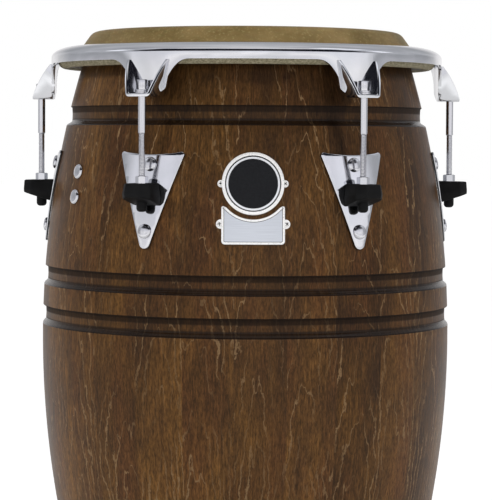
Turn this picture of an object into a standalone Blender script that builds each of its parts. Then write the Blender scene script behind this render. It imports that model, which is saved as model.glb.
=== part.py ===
"""A top-tuned conga drum: a turned wooden shell, a rawhide head on a flesh hoop, a pressed crown rim
with six welded ears, six tuning rods, and the side plates, nuts and rubber bumpers that they pull on.

Metres, +Z up. The drum's axis is Z, it stands on z = 0, and its front, with the badge, faces -Y.
An angle round the drum is measured from the front towards +X.
"""

import math

import bmesh
import bpy
from mathutils import Matrix, Vector

for old in list(bpy.data.objects):
    bpy.data.objects.remove(old)

MM = 0.001

# Whole drum
height = 762.0 * MM  # floor to the top of the head
lug_count = 6
first_lug = math.radians(30.0)
seat_gap = 0.3 * MM  # between pieces that rest on each other
run_gap = 0.4 * MM  # round pieces that turn or slide

# How finely curves are drawn
facets = 36  # flat sides of each large turned piece
station_step = 80.0 * MM  # longest straight facet down the stave
crown_steps = 4  # flats across the crown's quarter ellipse
sharp_angle = math.radians(35.0)
weld = 0.01 * MM  # points closer than this are one point

# Shell
belly_radius = 202.1 * MM
belly_drop = 301.4 * MM  # widest place below the head
edge_in = 46.7 * MM  # bearing edge in from the belly, which sets the bow of the stave
taper_drop = 185.6 * MM  # this far below the belly the stave starts to run straight
wall = 11.5 * MM
edge_round = 5.7 * MM  # roundover of the bearing edge
edge_bevel = 2.6 * MM  # inner bevel of the bearing edge
groove_height = 18.0 * MM
groove_depth = 2.8 * MM
groove_lip = 0.6 * MM  # height of the sharp upper step
groove_ramp = 4.0 * MM  # height of the slope that ends a groove
upper_groove_drop = 74.3 * MM  # top of the upper groove below the head
middle_groove_rise = 71.0 * MM  # tops of the belly grooves above the belly
lower_groove_rise = 32.0 * MM

# Rubber foot ring
foot_floor = 4.2 * MM  # rubber under the wood
foot_wall = 3.0 * MM
foot_outer_height = 22.0 * MM
foot_inner_height = 13.0 * MM

# Head
skin = 2.0 * MM
hoop_reach = 24.6 * MM  # middle of the flesh hoop out from the bearing edge
hoop_half_width = 4.8 * MM
hoop_drop = 29.4 * MM  # centre of the hoop's lower round below the head
lap_height = 4.4 * MM  # skin turned up past the hoop's lower round

# Crown rim
sheet = 3.0 * MM
crown_drop = 11.7 * MM  # flat of the crown below the head
crown_fall = 14.0 * MM  # height of the crown's quarter ellipse
lip_gap = 0.5 * MM  # inner lip off the slope of the skin
shoulder_in = 14.0 * MM  # start of the ellipse, inside the middle of the hoop
skirt_out = 13.7 * MM  # skirt outside the middle of the hoop
skirt_drop = 32.0 * MM  # bottom of the skirt below the head
ear_drop = 67.0 * MM  # bottom of an ear below the head
ear_half_top = math.radians(6.4)
ear_half_bottom = math.radians(5.5)
ear_flare = 20.0 * MM  # width and height of the curve from the skirt's edge down to an ear's side
ear_flare_height = 14.0 * MM
ear_corner = 7.0 * MM  # round of each lower corner

# Strap of an ear
strap = 3.2 * MM
strap_half_top = 22.5 * MM
strap_half_bottom = 12.2 * MM
strap_corner = 2.2 * MM
strap_drop = 0.5 * MM  # top of the strap's walls below the skirt
strap_reach = 18.3 * MM  # front of the strap's floor out from the skirt
strap_start = 0.6 * MM  # front of the strap's walls out from the skirt at their top
strap_knee_out = 1.5 * MM  # middle of the walls' front edge, out from straight
strap_knee_up = 0.8 * MM  # and up

# Tuning rod
rod_out = 9.95 * MM  # rod axis out from the skirt
shank_radius = 3.57 * MM
thread_crest = 3.175 * MM  # radius over the thread's crests
thread_pitch = 1.27 * MM
thread_start = 101.4 * MM  # top of the thread below the head
rod_end = 160.0 * MM  # end of the rod below the head
flange_radius = 6.3 * MM
flange = 1.7 * MM
hex_across = 9.6 * MM
hex_height = 9.0 * MM
washer_radius = 6.6 * MM
washer = 1.7 * MM

# Side plate
plate = 2.5 * MM
plate_half_top = 34.5 * MM
plate_top = 117.0 * MM  # top corners below the head
plate_tip = 207.0 * MM  # tip below the head
plate_dip = 3.2 * MM  # hollow of the top edge
plate_corner = 3.0 * MM
plate_tip_round = 5.6 * MM
upper_bolt_in = 12.3 * MM  # bolts in from the plate's top and tip
lower_bolt_in = 16.0 * MM
shelf = 4.0 * MM
shelf_half = 10.0 * MM
shelf_drop = 149.4 * MM  # top of the shelf below the head
shelf_past_rod = 8.4 * MM
shelf_corner = 3.5 * MM

# Nut on the shelf
barrel_across = 10.4 * MM
barrel_rise = 9.7 * MM  # nut above the shelf
nut_foot_across = 14.0 * MM
nut_foot = 5.0 * MM

# Rubber bumper
bumper_rise = 3.4 * MM  # top of the bumper above the shelf
bumper_half = 15.5 * MM
bumper_half_top = 13.4 * MM
bumper_nose_half = 8.6 * MM
bumper_past_rod = 17.3 * MM
bumper_cheek = 7.5 * MM  # nose corners cut back
bumper_waist = 9.0 * MM  # widest level below the top
bumper_back_height = 21.0 * MM
bumper_nose_height = 12.8 * MM
bumper_edge = 1.3 * MM
bumper_taper = 1.0 * MM  # drawn in below the waist
sleeve_wall = 1.6 * MM
sleeve_floor = 2.0 * MM
sleeve_corner = 2.0 * MM
tighten_travel = 6.0 * MM  # room for the rods below, as far as the rim can be pulled down

# Bolts through the shell
bolt_radius = 3.0 * MM
bolt_head_radius = 6.8 * MM
bolt_head = 3.5 * MM  # height of the head's full dome
dome_end = math.radians(70.0)  # where the dome's flat top begins
neck_across = 6.4 * MM
bolt_nut_across = 10.0 * MM
bolt_nut = 5.0 * MM
bolt_spare = 1.6 * MM
side_bolt_angle = math.radians(-60.0)
side_bolt_drops = (137.0 * MM, 161.0 * MM)
side_head_radius = 7.2 * MM
backing = 2.0 * MM
backing_half = 10.0 * MM
backing_margin = 12.0 * MM
backing_corner = 3.0 * MM

# Badge and name plate
badge_drop = 146.2 * MM
badge_radius = 28.65 * MM
badge_face = 23.4 * MM
badge_sheet = 1.3 * MM
badge_edge = 0.8 * MM  # thickness at the ring's outer edge
badge_ring = 2.6 * MM  # height of the raised ring
badge_crest = 0.9 * MM  # half the width of the ring's top
tab_sheet = 0.8 * MM
badge_tab_out = 29.4 * MM
badge_tab_radius = 3.4 * MM
name_half = 29.0 * MM
name_bottom = 55.3 * MM  # below the badge's centre
name_hollow = 32.6 * MM  # radius of its hollow top edge
name_horn = 2.4 * MM  # height and half width of each upper corner's horn
name_corner = 3.2 * MM
name_sheet = 1.0 * MM
name_tab_out = 29.8 * MM
name_tab_drop = 36.8 * MM
name_tab_radius = 4.4 * MM

# Sizes that follow from the ones above
pocket_gap = 2 * seat_gap
thread_radius = thread_crest - 3 / 8 * math.cos(math.pi / 6) * thread_pitch  # plain, at the pitch line
shell_top = height - skin - seat_gap
edge_height = shell_top - edge_round
belly_height = height - belly_drop
taper_start = belly_height - taper_drop
bow_radius = ((edge_height - belly_height) ** 2 + edge_in**2) / (2 * edge_in)
shelf_top = height - shelf_drop
badge_height = height - badge_drop
crown_top = height - crown_drop
skirt_bottom = height - skirt_drop
ear_bottom = height - ear_drop
washer_low = ear_bottom + sheet + seat_gap


def shell_radius(level):
    """Outside radius of the stave at a height, without its grooves."""
    bowed = max(level, taper_start) - belly_height
    radius = belly_radius - bow_radius + math.sqrt(bow_radius**2 - bowed**2)
    if level < taper_start:
        radius += (taper_start - level) * math.tan(shell_lean(taper_start))
    return radius


def shell_lean(level):
    """Angle by which the stave's outward face looks up, negative where it looks down."""
    return math.asin((max(level, taper_start) - belly_height) / bow_radius)


edge_radius = shell_radius(edge_height)
edge_centre = edge_radius - edge_round
hoop_radius = edge_radius + hoop_reach
hoop_low = height - hoop_drop
skirt_radius = hoop_radius + skirt_out
rod_radius = skirt_radius + rod_out
ear_spread = ear_flare / skirt_radius
rod_hole = (shank_radius + run_gap) / math.cos(math.pi / 12)
thread_hole = (thread_radius + run_gap) / math.cos(math.pi / 10)
barrel_hole = (barrel_across / 2 / math.cos(math.pi / 6) + seat_gap) / math.cos(math.pi / 10)
bolt_hole = (bolt_radius + run_gap) / math.cos(math.pi / 8)
at_rod = Matrix.Translation((0.0, -rod_radius, 0.0))
facet_sag = (belly_radius - wall) * (1 - math.cos(math.pi / facets))  # flats stand into the hollow by this
station_sag = station_step**2 / (8 * bow_radius)  # and by this between their ends
inner_depth = wall + facet_sag + station_sag + seat_gap  # backing pieces, in from the wood's outside


# Helpers


def material(name, colour, roughness, metallic):
    """A plain shader with the piece's own colour."""
    made = bpy.data.materials.new(name)
    made.use_nodes = True
    shader = made.node_tree.nodes["Principled BSDF"]
    shader.inputs["Base Color"].default_value = (*colour, 1.0)
    shader.inputs["Roughness"].default_value = roughness
    shader.inputs["Metallic"].default_value = metallic
    made.diffuse_color = (*colour, 1.0)
    return made


def mesh_from(work, name):
    """A smooth-shaded mesh with sharp edges kept, from a finished bmesh."""
    bmesh.ops.recalc_face_normals(work, faces=work.faces)
    mesh = bpy.data.meshes.new(name)
    work.to_mesh(mesh)
    work.free()
    mesh.shade_smooth()
    mesh.set_sharp_from_angle(angle=sharp_angle)
    return mesh


def add(name, mesh, finish, place=None):
    """A named piece in the scene."""
    mesh.materials.clear()
    mesh.materials.append(finish)
    piece = bpy.data.objects.new(name, mesh)
    bpy.context.scene.collection.objects.link(piece)
    if place is not None:
        piece.matrix_world = place
    return piece


def combined(mesh, others, operation):
    """The mesh with the other meshes cut from it or joined to it; the helpers are removed again."""
    target = bpy.data.objects.new("blank", mesh)
    bpy.context.scene.collection.objects.link(target)
    helpers = []
    for other in others:
        helper = bpy.data.objects.new("cutter", other)
        bpy.context.scene.collection.objects.link(helper)
        helper.hide_render = True
        helper.display_type = "WIRE"
        helpers.append(helper)
        step = target.modifiers.new("combine", "BOOLEAN")
        step.operation = operation
        step.object = helper
        step.solver = "EXACT"
    seen = target.evaluated_get(bpy.context.evaluated_depsgraph_get())
    result = bpy.data.meshes.new_from_object(seen)
    for helper in [target, *helpers]:
        bpy.data.objects.remove(helper)
    result.shade_smooth()
    result.set_sharp_from_angle(angle=sharp_angle)
    return result


def turned(name, outline, closed=True, count=facets, places=(None,)):
    """Pieces turned round Z from (radius, height) points, one at each place.

    A third value gives a point's ring that many flat sides, at that distance from the axis. An open
    outline starts and ends on the axis.
    """
    work = bmesh.new()
    flat_sides = work.verts.layers.int.new("flat_sides")
    for place in places:
        before = set(work.verts)
        points = []
        for radius, level, *sides in outline:
            point = work.verts.new((0.0, -radius, level))
            point[flat_sides] = sides[0] if sides else 0
            points.append(point)
        pairs = list(zip(points, points[1:]))
        if closed:
            pairs.append((points[-1], points[0]))
        edges = [work.edges.new(pair) for pair in pairs]
        way = {"axis": (0, 0, 1), "cent": (0, 0, 0), "angle": 2 * math.pi}
        bmesh.ops.spin(work, geom=points + edges, steps=count, use_merge=True, **way)
        made = [point for point in work.verts if point not in before]
        for point in made:
            if point[flat_sides]:
                part = 2 * math.pi / point[flat_sides]
                turn = math.atan2(point.co.x, -point.co.y)
                point.co.xy /= math.cos(turn % part - part / 2)
        if place is not None:
            bmesh.ops.transform(work, matrix=place, verts=made)
    bmesh.ops.remove_doubles(work, verts=work.verts, dist=weld)
    return mesh_from(work, name)


def stack_mesh(name, levels, count, bored=False, places=(None,)):
    """A turned piece from (height, distance to side, flat sides) levels; a bored one closes on itself."""
    outline = [(apothem, level, sides) for level, apothem, sides in levels]
    if not bored:
        outline = [(0.0, outline[0][1]), *outline, (0.0, outline[-1][1])]
    return turned(name, outline, bored, count, places)


def prism(name, outline, near, far, cuts=()):
    """An outline of (across, height) points made into a slab between two distances in front of the axis."""
    work = bmesh.new()
    face = work.faces.new([work.verts.new((across, -near, level)) for across, level in outline])
    grown = bmesh.ops.extrude_face_region(work, geom=[face])["geom"]
    moved = [item for item in grown if isinstance(item, bmesh.types.BMVert)]
    bmesh.ops.translate(work, vec=(0, near - far, 0), verts=moved)
    for point, normal in cuts:
        everything = [*work.verts, *work.edges, *work.faces]
        bmesh.ops.bisect_plane(work, geom=everything, plane_co=point, plane_no=normal, dist=weld)
    return mesh_from(work, name)


def rounded(corner, before, after, radius, steps=3):
    """Points of the arc that rounds an outline's corner."""
    corner = Vector(corner)
    back = (Vector(before) - corner).normalized()
    ahead = (Vector(after) - corner).normalized()
    half = back.angle(ahead) / 2
    centre = corner + (back + ahead).normalized() * radius / math.sin(half)
    start = corner + back * radius / math.tan(half) - centre
    sweep = (math.pi - 2 * half) * (1 if back.cross(ahead) < 0 else -1)
    arc = []
    for step in range(steps + 1):
        turn = Matrix.Rotation(sweep * step / steps, 2)
        arc.append(tuple(centre + turn @ start))
    return arc


def on_shell(mesh, middle):
    """Bends a flat blank onto the shell: its depth in front of the axis becomes its lift off the wood."""
    for point in mesh.vertices:
        across, depth, level = point.co
        lean = shell_lean(level)
        radius = shell_radius(level) - depth * math.cos(lean)
        turn = across / shell_radius(middle)
        point.co = (radius * math.sin(turn), -radius * math.cos(turn), level - depth * math.sin(lean))
    return mesh


def seat(angle, level, lift=0.0):
    """Place with its Z square to the shell's surface at an angle and height."""
    lean = shell_lean(level)
    outward = Vector((math.cos(lean) * math.sin(angle), -math.cos(lean) * math.cos(angle), math.sin(lean)))
    along = Vector((math.cos(angle), math.sin(angle), 0.0))
    upward = outward.cross(along)
    radius = shell_radius(level)
    foot = Vector((radius * math.sin(angle), -radius * math.cos(angle), level)) + outward * lift
    turn = Matrix((along, upward, outward)).transposed().to_4x4()
    return Matrix.Translation(foot) @ turn


def round_the_drum(angle):
    """Turn that carries a piece from the front of the drum to an angle."""
    return Matrix.Rotation(angle, 4, "Z")


lug_angles = [first_lug + 2 * math.pi * index / lug_count for index in range(lug_count)]
upper_bolt = height - plate_top - upper_bolt_in
lower_bolt = height - plate_tip + lower_bolt_in
plate_bolt_seats = [seat(angle, level) for angle in lug_angles for level in (upper_bolt, lower_bolt)]
side_bolt_seats = [seat(side_bolt_angle, height - drop) for drop in side_bolt_drops]


# Shell


def groove(top):
    """Four points of a turned groove, upwards."""
    floor = [top - groove_height + groove_ramp, top - groove_lip]
    low = (shell_radius(top - groove_height), top - groove_height)
    high = (shell_radius(top), top)
    return [low, *[(shell_radius(level) - groove_depth, level) for level in floor], high]


def stave(low, high):
    """Points along the bowed stave between two heights, ends left out."""
    steps = max(1, math.ceil((high - low) / station_step))
    levels = [low + (high - low) * step / steps for step in range(1, steps)]
    return [(shell_radius(level), level) for level in levels]


def make_shell(finish):
    tops = [belly_height + lower_groove_rise, belly_height + middle_groove_rise, height - upper_groove_drop]
    bottom = foot_floor + seat_gap
    outline = [(shell_radius(bottom), bottom), (shell_radius(taper_start), taper_start)]
    reached = taper_start
    for top in tops:
        outline += stave(reached, top - groove_height) + groove(top)
        reached = top
    outline += stave(reached, edge_height)
    for step in range(4):
        turn = math.pi / 2 * step / 3
        outline.append((edge_centre + edge_round * math.cos(turn), edge_height + edge_round * math.sin(turn)))
    inner_top = shell_top - edge_bevel
    outline.append((shell_radius(inner_top) - wall + edge_bevel, shell_top))
    outline.append((shell_radius(inner_top) - wall, inner_top))
    steps = math.ceil((inner_top - taper_start) / station_step)
    for step in range(1, steps + 1):
        level = inner_top + (taper_start - inner_top) * step / steps
        outline.append((shell_radius(level) - wall, level))
    outline.append((shell_radius(bottom) - wall, bottom))
    blank = turned("shell", outline)
    through = [(-2 * wall, bolt_hole, 0), (wall, bolt_hole, 0)]
    bolt_holes = stack_mesh("bolt_holes", through, 8, places=plate_bolt_seats + side_bolt_seats)
    return add("shell", combined(blank, [bolt_holes], "DIFFERENCE"), finish)


def make_foot_ring(finish):
    """A rubber channel pushed over the end of the shell."""
    floor = foot_floor
    inner = shell_radius(foot_floor) - wall - seat_gap
    outline = [
        (shell_radius(0.0) + seat_gap + foot_wall, 0.0),
        (shell_radius(foot_outer_height) + seat_gap + foot_wall, foot_outer_height - foot_wall),
        (shell_radius(foot_outer_height) + seat_gap + foot_wall / 3, foot_outer_height),
        (shell_radius(foot_outer_height) + seat_gap, foot_outer_height),
        (shell_radius(floor) + seat_gap, floor),
        (inner, floor),
        (shell_radius(foot_inner_height) - wall - seat_gap, foot_inner_height),
        (shell_radius(foot_inner_height) - wall - seat_gap - foot_wall, foot_inner_height),
        (shell_radius(0.0) - wall - seat_gap - foot_wall, 0.0),
    ]
    return add("foot_ring", turned("foot_ring", outline), finish)


# Head


def arc_points(centre, radius, start, end, steps):
    """Points on an arc in the (radius, height) plane, from one angle to another."""
    points = []
    for step in range(steps + 1):
        turn = start + (end - start) * step / steps
        points.append((centre[0] + radius * math.cos(turn), centre[1] + radius * math.sin(turn)))
    return points


def skin_slope(edge_out, hoop_out):
    """Direction of the skin's straight run, a line that touches both rounds."""
    across = hoop_radius - edge_centre
    down = edge_height - hoop_low
    return math.atan2(-down, across) - math.asin((edge_out + hoop_out) / math.hypot(across, down))


def skin_radius(level):
    """Radius of the skin's outer face at a height on its straight run."""
    edge_out = edge_round + seat_gap + skin
    slope = skin_slope(edge_out, hoop_half_width + seat_gap)
    start = (edge_centre - edge_out * math.sin(slope), edge_height + edge_out * math.cos(slope))
    return start[0] + (start[1] - level) / math.tan(-slope)


def skin_face(edge_out, hoop_out):
    """One face of the skin: over the bearing edge, straight down to the hoop, and round under it."""
    edge = (edge_centre, edge_height)
    hoop = (hoop_radius, hoop_low)
    slope = skin_slope(edge_out, hoop_out)
    over = arc_points(edge, edge_out, math.pi / 2, slope + math.pi / 2, 3)
    under = arc_points(hoop, hoop_out, slope - math.pi / 2, 0.0, 4)
    return [*over, *under, (hoop_radius + hoop_out, hoop_low + lap_height)]


def make_head(finish):
    bare = edge_round + seat_gap
    wrap = hoop_half_width + seat_gap
    upper = skin_face(bare + skin, wrap)
    lower = skin_face(bare, wrap + skin)
    outline = [(0.0, height), *upper, *reversed(lower), (0.0, height - skin)]
    return add("head_skin", turned("head_skin", outline, closed=False), finish)


def crown_outline(lift=0.0):
    """The crown's pressed outside, from its inner lip to the bottom of its skirt, or a line inside it."""
    shoulder = hoop_radius - shoulder_in
    reach_out = skirt_radius - shoulder
    points = []
    for step in range(crown_steps + 1):
        turn = math.pi / 2 * (1 - step / crown_steps)
        along = math.cos(turn)
        rise = math.sin(turn)
        normal = Vector((along / reach_out, rise / crown_fall)).normalized()
        point = Vector((shoulder + reach_out * along, crown_top - crown_fall + crown_fall * rise))
        points.append(point + normal * lift)
    return points


def hoop_high():
    """Centre of the hoop's upper round, where it comes up against the inside of the crown."""
    clear = sheet + seat_gap + hoop_half_width
    levels = []
    for start, end in zip(crown_outline(-clear), crown_outline(-clear)[1:]):
        if start.x <= hoop_radius <= end.x:
            share = (hoop_radius - start.x) / (end.x - start.x)
            levels.append(start.y + (end.y - start.y) * share)
    return min(levels)


def make_flesh_hoop(finish):
    """A flat steel hoop with rounded edges, which the skin is wrapped on."""
    low = arc_points((hoop_radius, hoop_low), hoop_half_width, -math.pi, 0.0, 3)
    high = arc_points((hoop_radius, hoop_high()), hoop_half_width, 0.0, math.pi, 3)
    return add("flesh_hoop", turned("flesh_hoop", low + high), finish)


# Crown rim


def crown_columns():
    """Angles of the crown's columns: those of the other rings, and the sides and flares of the ears."""
    part = 2 * math.pi / facets
    angles = {round(part * index, 6) for index in range(facets)}
    for middle in lug_angles:
        for side in (-1, 1):
            for share in (0.0, 0.3, 0.6, 1.0):
                angles.add(round((middle + side * (ear_half_top + share * ear_spread)) % (2 * math.pi), 6))
    return sorted(angles)


def flare_drop(angle):
    """How far the skirt's edge runs down beside and across an ear."""
    away = min(abs((angle - middle + math.pi) % (2 * math.pi) - math.pi) for middle in lug_angles)
    past = max(0.0, away - ear_half_top) / ear_spread
    return ear_flare_height * max(0.0, 1.0 - past) ** 2


def make_crown(finish):
    """A pressed sheet: its profile is swept round, its ears are drawn down, then it is thickened."""
    lip = Vector((skin_radius(crown_top) + lip_gap, crown_top))
    profile = [lip, *crown_outline(), Vector((skirt_radius, skirt_bottom))]
    columns = crown_columns()
    work = bmesh.new()
    grid = []
    for angle in columns:
        column = []
        for point in profile:
            level = point.y
            if point is profile[-1]:
                level -= flare_drop(angle)
            column.append(work.verts.new((point.x * math.sin(angle), -point.x * math.cos(angle), level)))
        grid.append(column)
        for above, below in zip(column, column[1:]):
            work.edges.new((above, below))
    for left, right in zip(grid, grid[1:] + grid[:1]):
        sides = [edge for column in (left, right) for edge in column_edges(column)]
        bmesh.ops.bridge_loops(work, edges=sides)
    draw_ears(work)
    bmesh.ops.recalc_face_normals(work, faces=work.faces)
    top = max(work.faces, key=lambda face: face.calc_center_median().z)
    if top.normal.z < 0:
        bmesh.ops.reverse_faces(work, faces=work.faces)
    pressed = bpy.data.meshes.new("pressed")
    work.to_mesh(pressed)
    work.free()
    blank = bpy.data.objects.new("pressed", pressed)
    bpy.context.scene.collection.objects.link(blank)
    thick = blank.modifiers.new("sheet", "SOLIDIFY")
    thick.thickness = sheet
    thick.offset = -1.0
    thick.use_even_offset = True
    mesh = bpy.data.meshes.new_from_object(blank.evaluated_get(bpy.context.evaluated_depsgraph_get()))
    bpy.data.objects.remove(blank)
    level = crown_top - sheet
    for point in mesh.vertices:
        radius = point.co.xy.length
        if radius < lip.x + weld and point.co.z < crown_top - sheet / 2:
            point.co.xy *= (skin_radius(level) + lip_gap) / radius
    mesh.shade_smooth()
    mesh.set_sharp_from_angle(angle=sharp_angle)
    return add("crown_rim", mesh, finish)


def column_edges(column):
    """Edges between the points of one column."""
    found = []
    for above, below in zip(column, column[1:]):
        found += [edge for edge in above.link_edges if edge.other_vert(above) is below]
    return found


def draw_ears(work):
    """Extrudes the skirt's edge down at each lug, narrower and narrower, and rounds its lower corners."""
    rows = [(ear_bottom + ear_corner, ear_half_bottom)]
    for turn in (math.pi / 4, math.pi / 2):
        cut = ear_corner * (1 - math.cos(turn)) / skirt_radius
        rows.append((ear_bottom + ear_corner * (1 - math.sin(turn)), ear_half_bottom - cut))
    for middle in lug_angles:
        edge_row = []
        for edge in work.edges:
            if edge.is_boundary and all(near_ear(point, middle) for point in edge.verts):
                edge_row.append(edge)
        half = ear_half_top
        for level, next_half in rows:
            grown = bmesh.ops.extrude_edge_only(work, edges=edge_row)["geom"]
            for point in [item for item in grown if isinstance(item, bmesh.types.BMVert)]:
                away = ear_offset(point.co, middle) * next_half / half
                radius = point.co.xy.length
                point.co = (radius * math.sin(middle + away), -radius * math.cos(middle + away), level)
            edge_row = [item for item in grown if isinstance(item, bmesh.types.BMEdge) and item.is_boundary]
            edge_row = [edge for edge in edge_row if abs(edge.verts[0].co.z - edge.verts[1].co.z) < weld]
            half = next_half


def ear_offset(place, middle):
    """Angle of a place from the middle of an ear."""
    angle = math.atan2(place.x, -place.y)
    return (angle - middle + math.pi) % (2 * math.pi) - math.pi


def near_ear(point, middle):
    """Whether a point lies on the skirt's edge across an ear."""
    low = point.co.z < skirt_bottom - ear_flare_height + weld
    return low and abs(ear_offset(point.co, middle)) < 2 * ear_half_top


# Straps of the ears


def strap_mesh():
    """A bent strap with slanted walls and a bored floor, welded to the front of an ear."""
    floor_low = ear_bottom
    floor_high = ear_bottom + sheet
    top = skirt_bottom - strap_drop
    slant = (strap_half_top - strap_half_bottom) / (top - floor_low)
    thick = strap * math.hypot(1.0, slant)
    outer = (strap_half_bottom, floor_low)
    inner = (strap_half_bottom - thick + slant * sheet, floor_high)
    right = [(0.0, floor_low)]
    right += rounded(outer, right[0], (strap_half_top, top), strap_corner + strap / 2, 2)
    right += [(strap_half_top, top), (strap_half_top - thick, top)]
    right += rounded(inner, (strap_half_top - thick, top), (0.0, floor_high), strap_corner, 2)
    right += [(0.0, floor_high)]
    left = [(-across, level) for across, level in reversed(right[1:-1])]
    front = skirt_radius + strap_reach
    cuts = [((across, 0, 0), (1, 0, 0)) for across in (-strap_half_bottom / 2, 0.0, strap_half_bottom / 2)]
    blank = prism("strap", right + left, skirt_radius, front, cuts)
    work = bmesh.new()
    work.from_mesh(blank)
    for point in work.verts:
        if abs(point.co.y + skirt_radius) < weld:
            point.co.y = -math.sqrt(skirt_radius**2 - point.co.x**2) - seat_gap
    high = Vector((0.0, -skirt_radius - strap_start, top))
    low = Vector((0.0, -front, floor_high))
    knee = (high + low) / 2 + Vector((0.0, -strap_knee_out, strap_knee_up))
    for start, end in ((high, knee), (knee, low)):
        along = end - start
        normal = Vector((0.0, along.z, -along.y))
        if normal.y > 0:
            normal = -normal
        everything = [*work.verts, *work.edges, *work.faces]
        cut = bmesh.ops.bisect_plane(work, geom=everything, plane_co=start, plane_no=normal, clear_outer=True)
        rim = [item for item in cut["geom_cut"] if isinstance(item, bmesh.types.BMEdge)]
        bmesh.ops.edgenet_fill(work, edges=rim)
    blank = mesh_from(work, "strap")
    drill = [(floor_low - sheet, rod_hole, 0), (floor_high + sheet, rod_hole, 0)]
    return combined(blank, [stack_mesh("drill", drill, 12, places=[at_rod])], "DIFFERENCE")


# Rods and nuts


def rod_mesh():
    """Rod with its washer, round flange and hexagon head, on its own axis."""
    head_low = washer_low + washer
    flange_top = head_low + flange
    levels = [
        (height - rod_end, thread_radius, 0),
        (height - thread_start, thread_radius, 0),
        (height - thread_start, shank_radius, 0),
        (washer_low, shank_radius, 0),
        (washer_low, washer_radius, 0),
        (head_low, washer_radius, 0),
        (head_low, flange_radius, 0),
        (flange_top, flange_radius, 0),
        (flange_top, hex_across / 2, 6),
        (flange_top + hex_height, hex_across / 2, 6),
    ]
    return stack_mesh("tuning_rod", levels, 12)


def nut_mesh():
    """Hexagon nut pulled up against the shelf: a wide foot below it and a barrel through it."""
    foot_top = shelf_top - shelf - seat_gap
    top = shelf_top + barrel_rise
    bore = (thread_radius + run_gap, 0)
    levels = [
        (foot_top - nut_foot, *bore),
        (foot_top - nut_foot, nut_foot_across / 2, 6),
        (foot_top, nut_foot_across / 2, 6),
        (foot_top, barrel_across / 2, 6),
        (top, barrel_across / 2, 6),
        (top, *bore),
    ]
    return stack_mesh("rod_nut", levels, 12, bored=True)


# Side plates


def plate_mesh():
    """A pressed triangle bent onto the shell, punched for two bolts, with a bored shelf welded across it."""
    top = height - plate_top
    tip = height - plate_tip
    middle = (top + tip) / 2
    corner = (plate_half_top, top)
    to_round = math.hypot(plate_half_top, top - tip - plate_tip_round)
    side = math.atan2(plate_half_top, top - tip - plate_tip_round) - math.asin(plate_tip_round / to_round)
    bottom = (0.0, top - plate_half_top / math.tan(side))
    hollow = (0.0, top - plate_dip)
    right = rounded(corner, bottom, hollow, plate_corner, 2)
    half_way = (plate_half_top / 2, top - plate_dip * 3 / 4)
    tip_arc = rounded(bottom, (-plate_half_top, top), corner, plate_tip_round, 4)
    left = [(-across, level) for across, level in reversed(right)]
    outline = [*tip_arc, *right, half_way, hollow, (-half_way[0], half_way[1]), *left]
    step = 2 * math.pi / facets * shell_radius(middle)
    cuts = [((0, 0, tip + (top - tip) * share), (0, 0, 1)) for share in (1 / 3, 2 / 3)]
    cuts += [((across, 0, 0), (1, 0, 0)) for across in (-step / 2, 0.0, step / 2)]
    blank = prism("side_plate", outline, seat_gap, seat_gap + plate, cuts)
    on_shell(blank, middle)
    punch_radius = neck_across / 2 + seat_gap
    punch = [(-plate, punch_radius, 4), (3 * plate, punch_radius, 4)]
    places = [seat(0.0, level) for level in (upper_bolt, lower_bolt)]
    punched = combined(blank, [stack_mesh("punch", punch, 4, places=places)], "DIFFERENCE")
    root = shell_radius(shelf_top) + seat_gap + plate / 2
    end = rod_radius + shelf_past_rod
    plan = [
        (-shelf_half, root),
        (-shelf_half, end - shelf_corner),
        (-shelf_half + shelf_corner, end),
        (shelf_half - shelf_corner, end),
        (shelf_half, end - shelf_corner),
        (shelf_half, root),
    ]
    shelf_mesh = prism("shelf", plan, -shelf_top, shelf - shelf_top)
    shelf_mesh.transform(Matrix.Rotation(math.pi / 2, 4, "X"))
    drill = [(shelf_top - 2 * shelf, barrel_hole, 0), (shelf_top + shelf, barrel_hole, 0)]
    bored = combined(shelf_mesh, [stack_mesh("drill", drill, 10, places=[at_rod])], "DIFFERENCE")
    return combined(punched, [bored], "UNION")


# Bumpers


def plate_front(level):
    """How far in front of the axis a side plate's outer face lies at a height."""
    return shell_radius(level) + (seat_gap + plate) / math.cos(shell_lean(level)) + seat_gap


def bumper_ring(work, half, back_level, nose_level, inset=0.0):
    """Six points of the bumper's plan, at levels that may slope from back to nose."""
    nose = rod_radius + bumper_past_rod - inset
    nose_half = bumper_nose_half * half / bumper_half
    cheek = nose - bumper_cheek
    plan = [
        (-half, plate_front(back_level)),
        (-half, cheek),
        (-nose_half, nose),
        (nose_half, nose),
        (half, cheek),
        (half, plate_front(back_level)),
    ]
    points = []
    for across, out in plan:
        share = (out - plan[0][1]) / (nose - plan[0][1])
        points.append(work.verts.new((across, -out, back_level + (nose_level - back_level) * share)))
    ring = [work.edges.new(pair) for pair in zip(points, points[1:] + points[:1])]
    return points, ring


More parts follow.
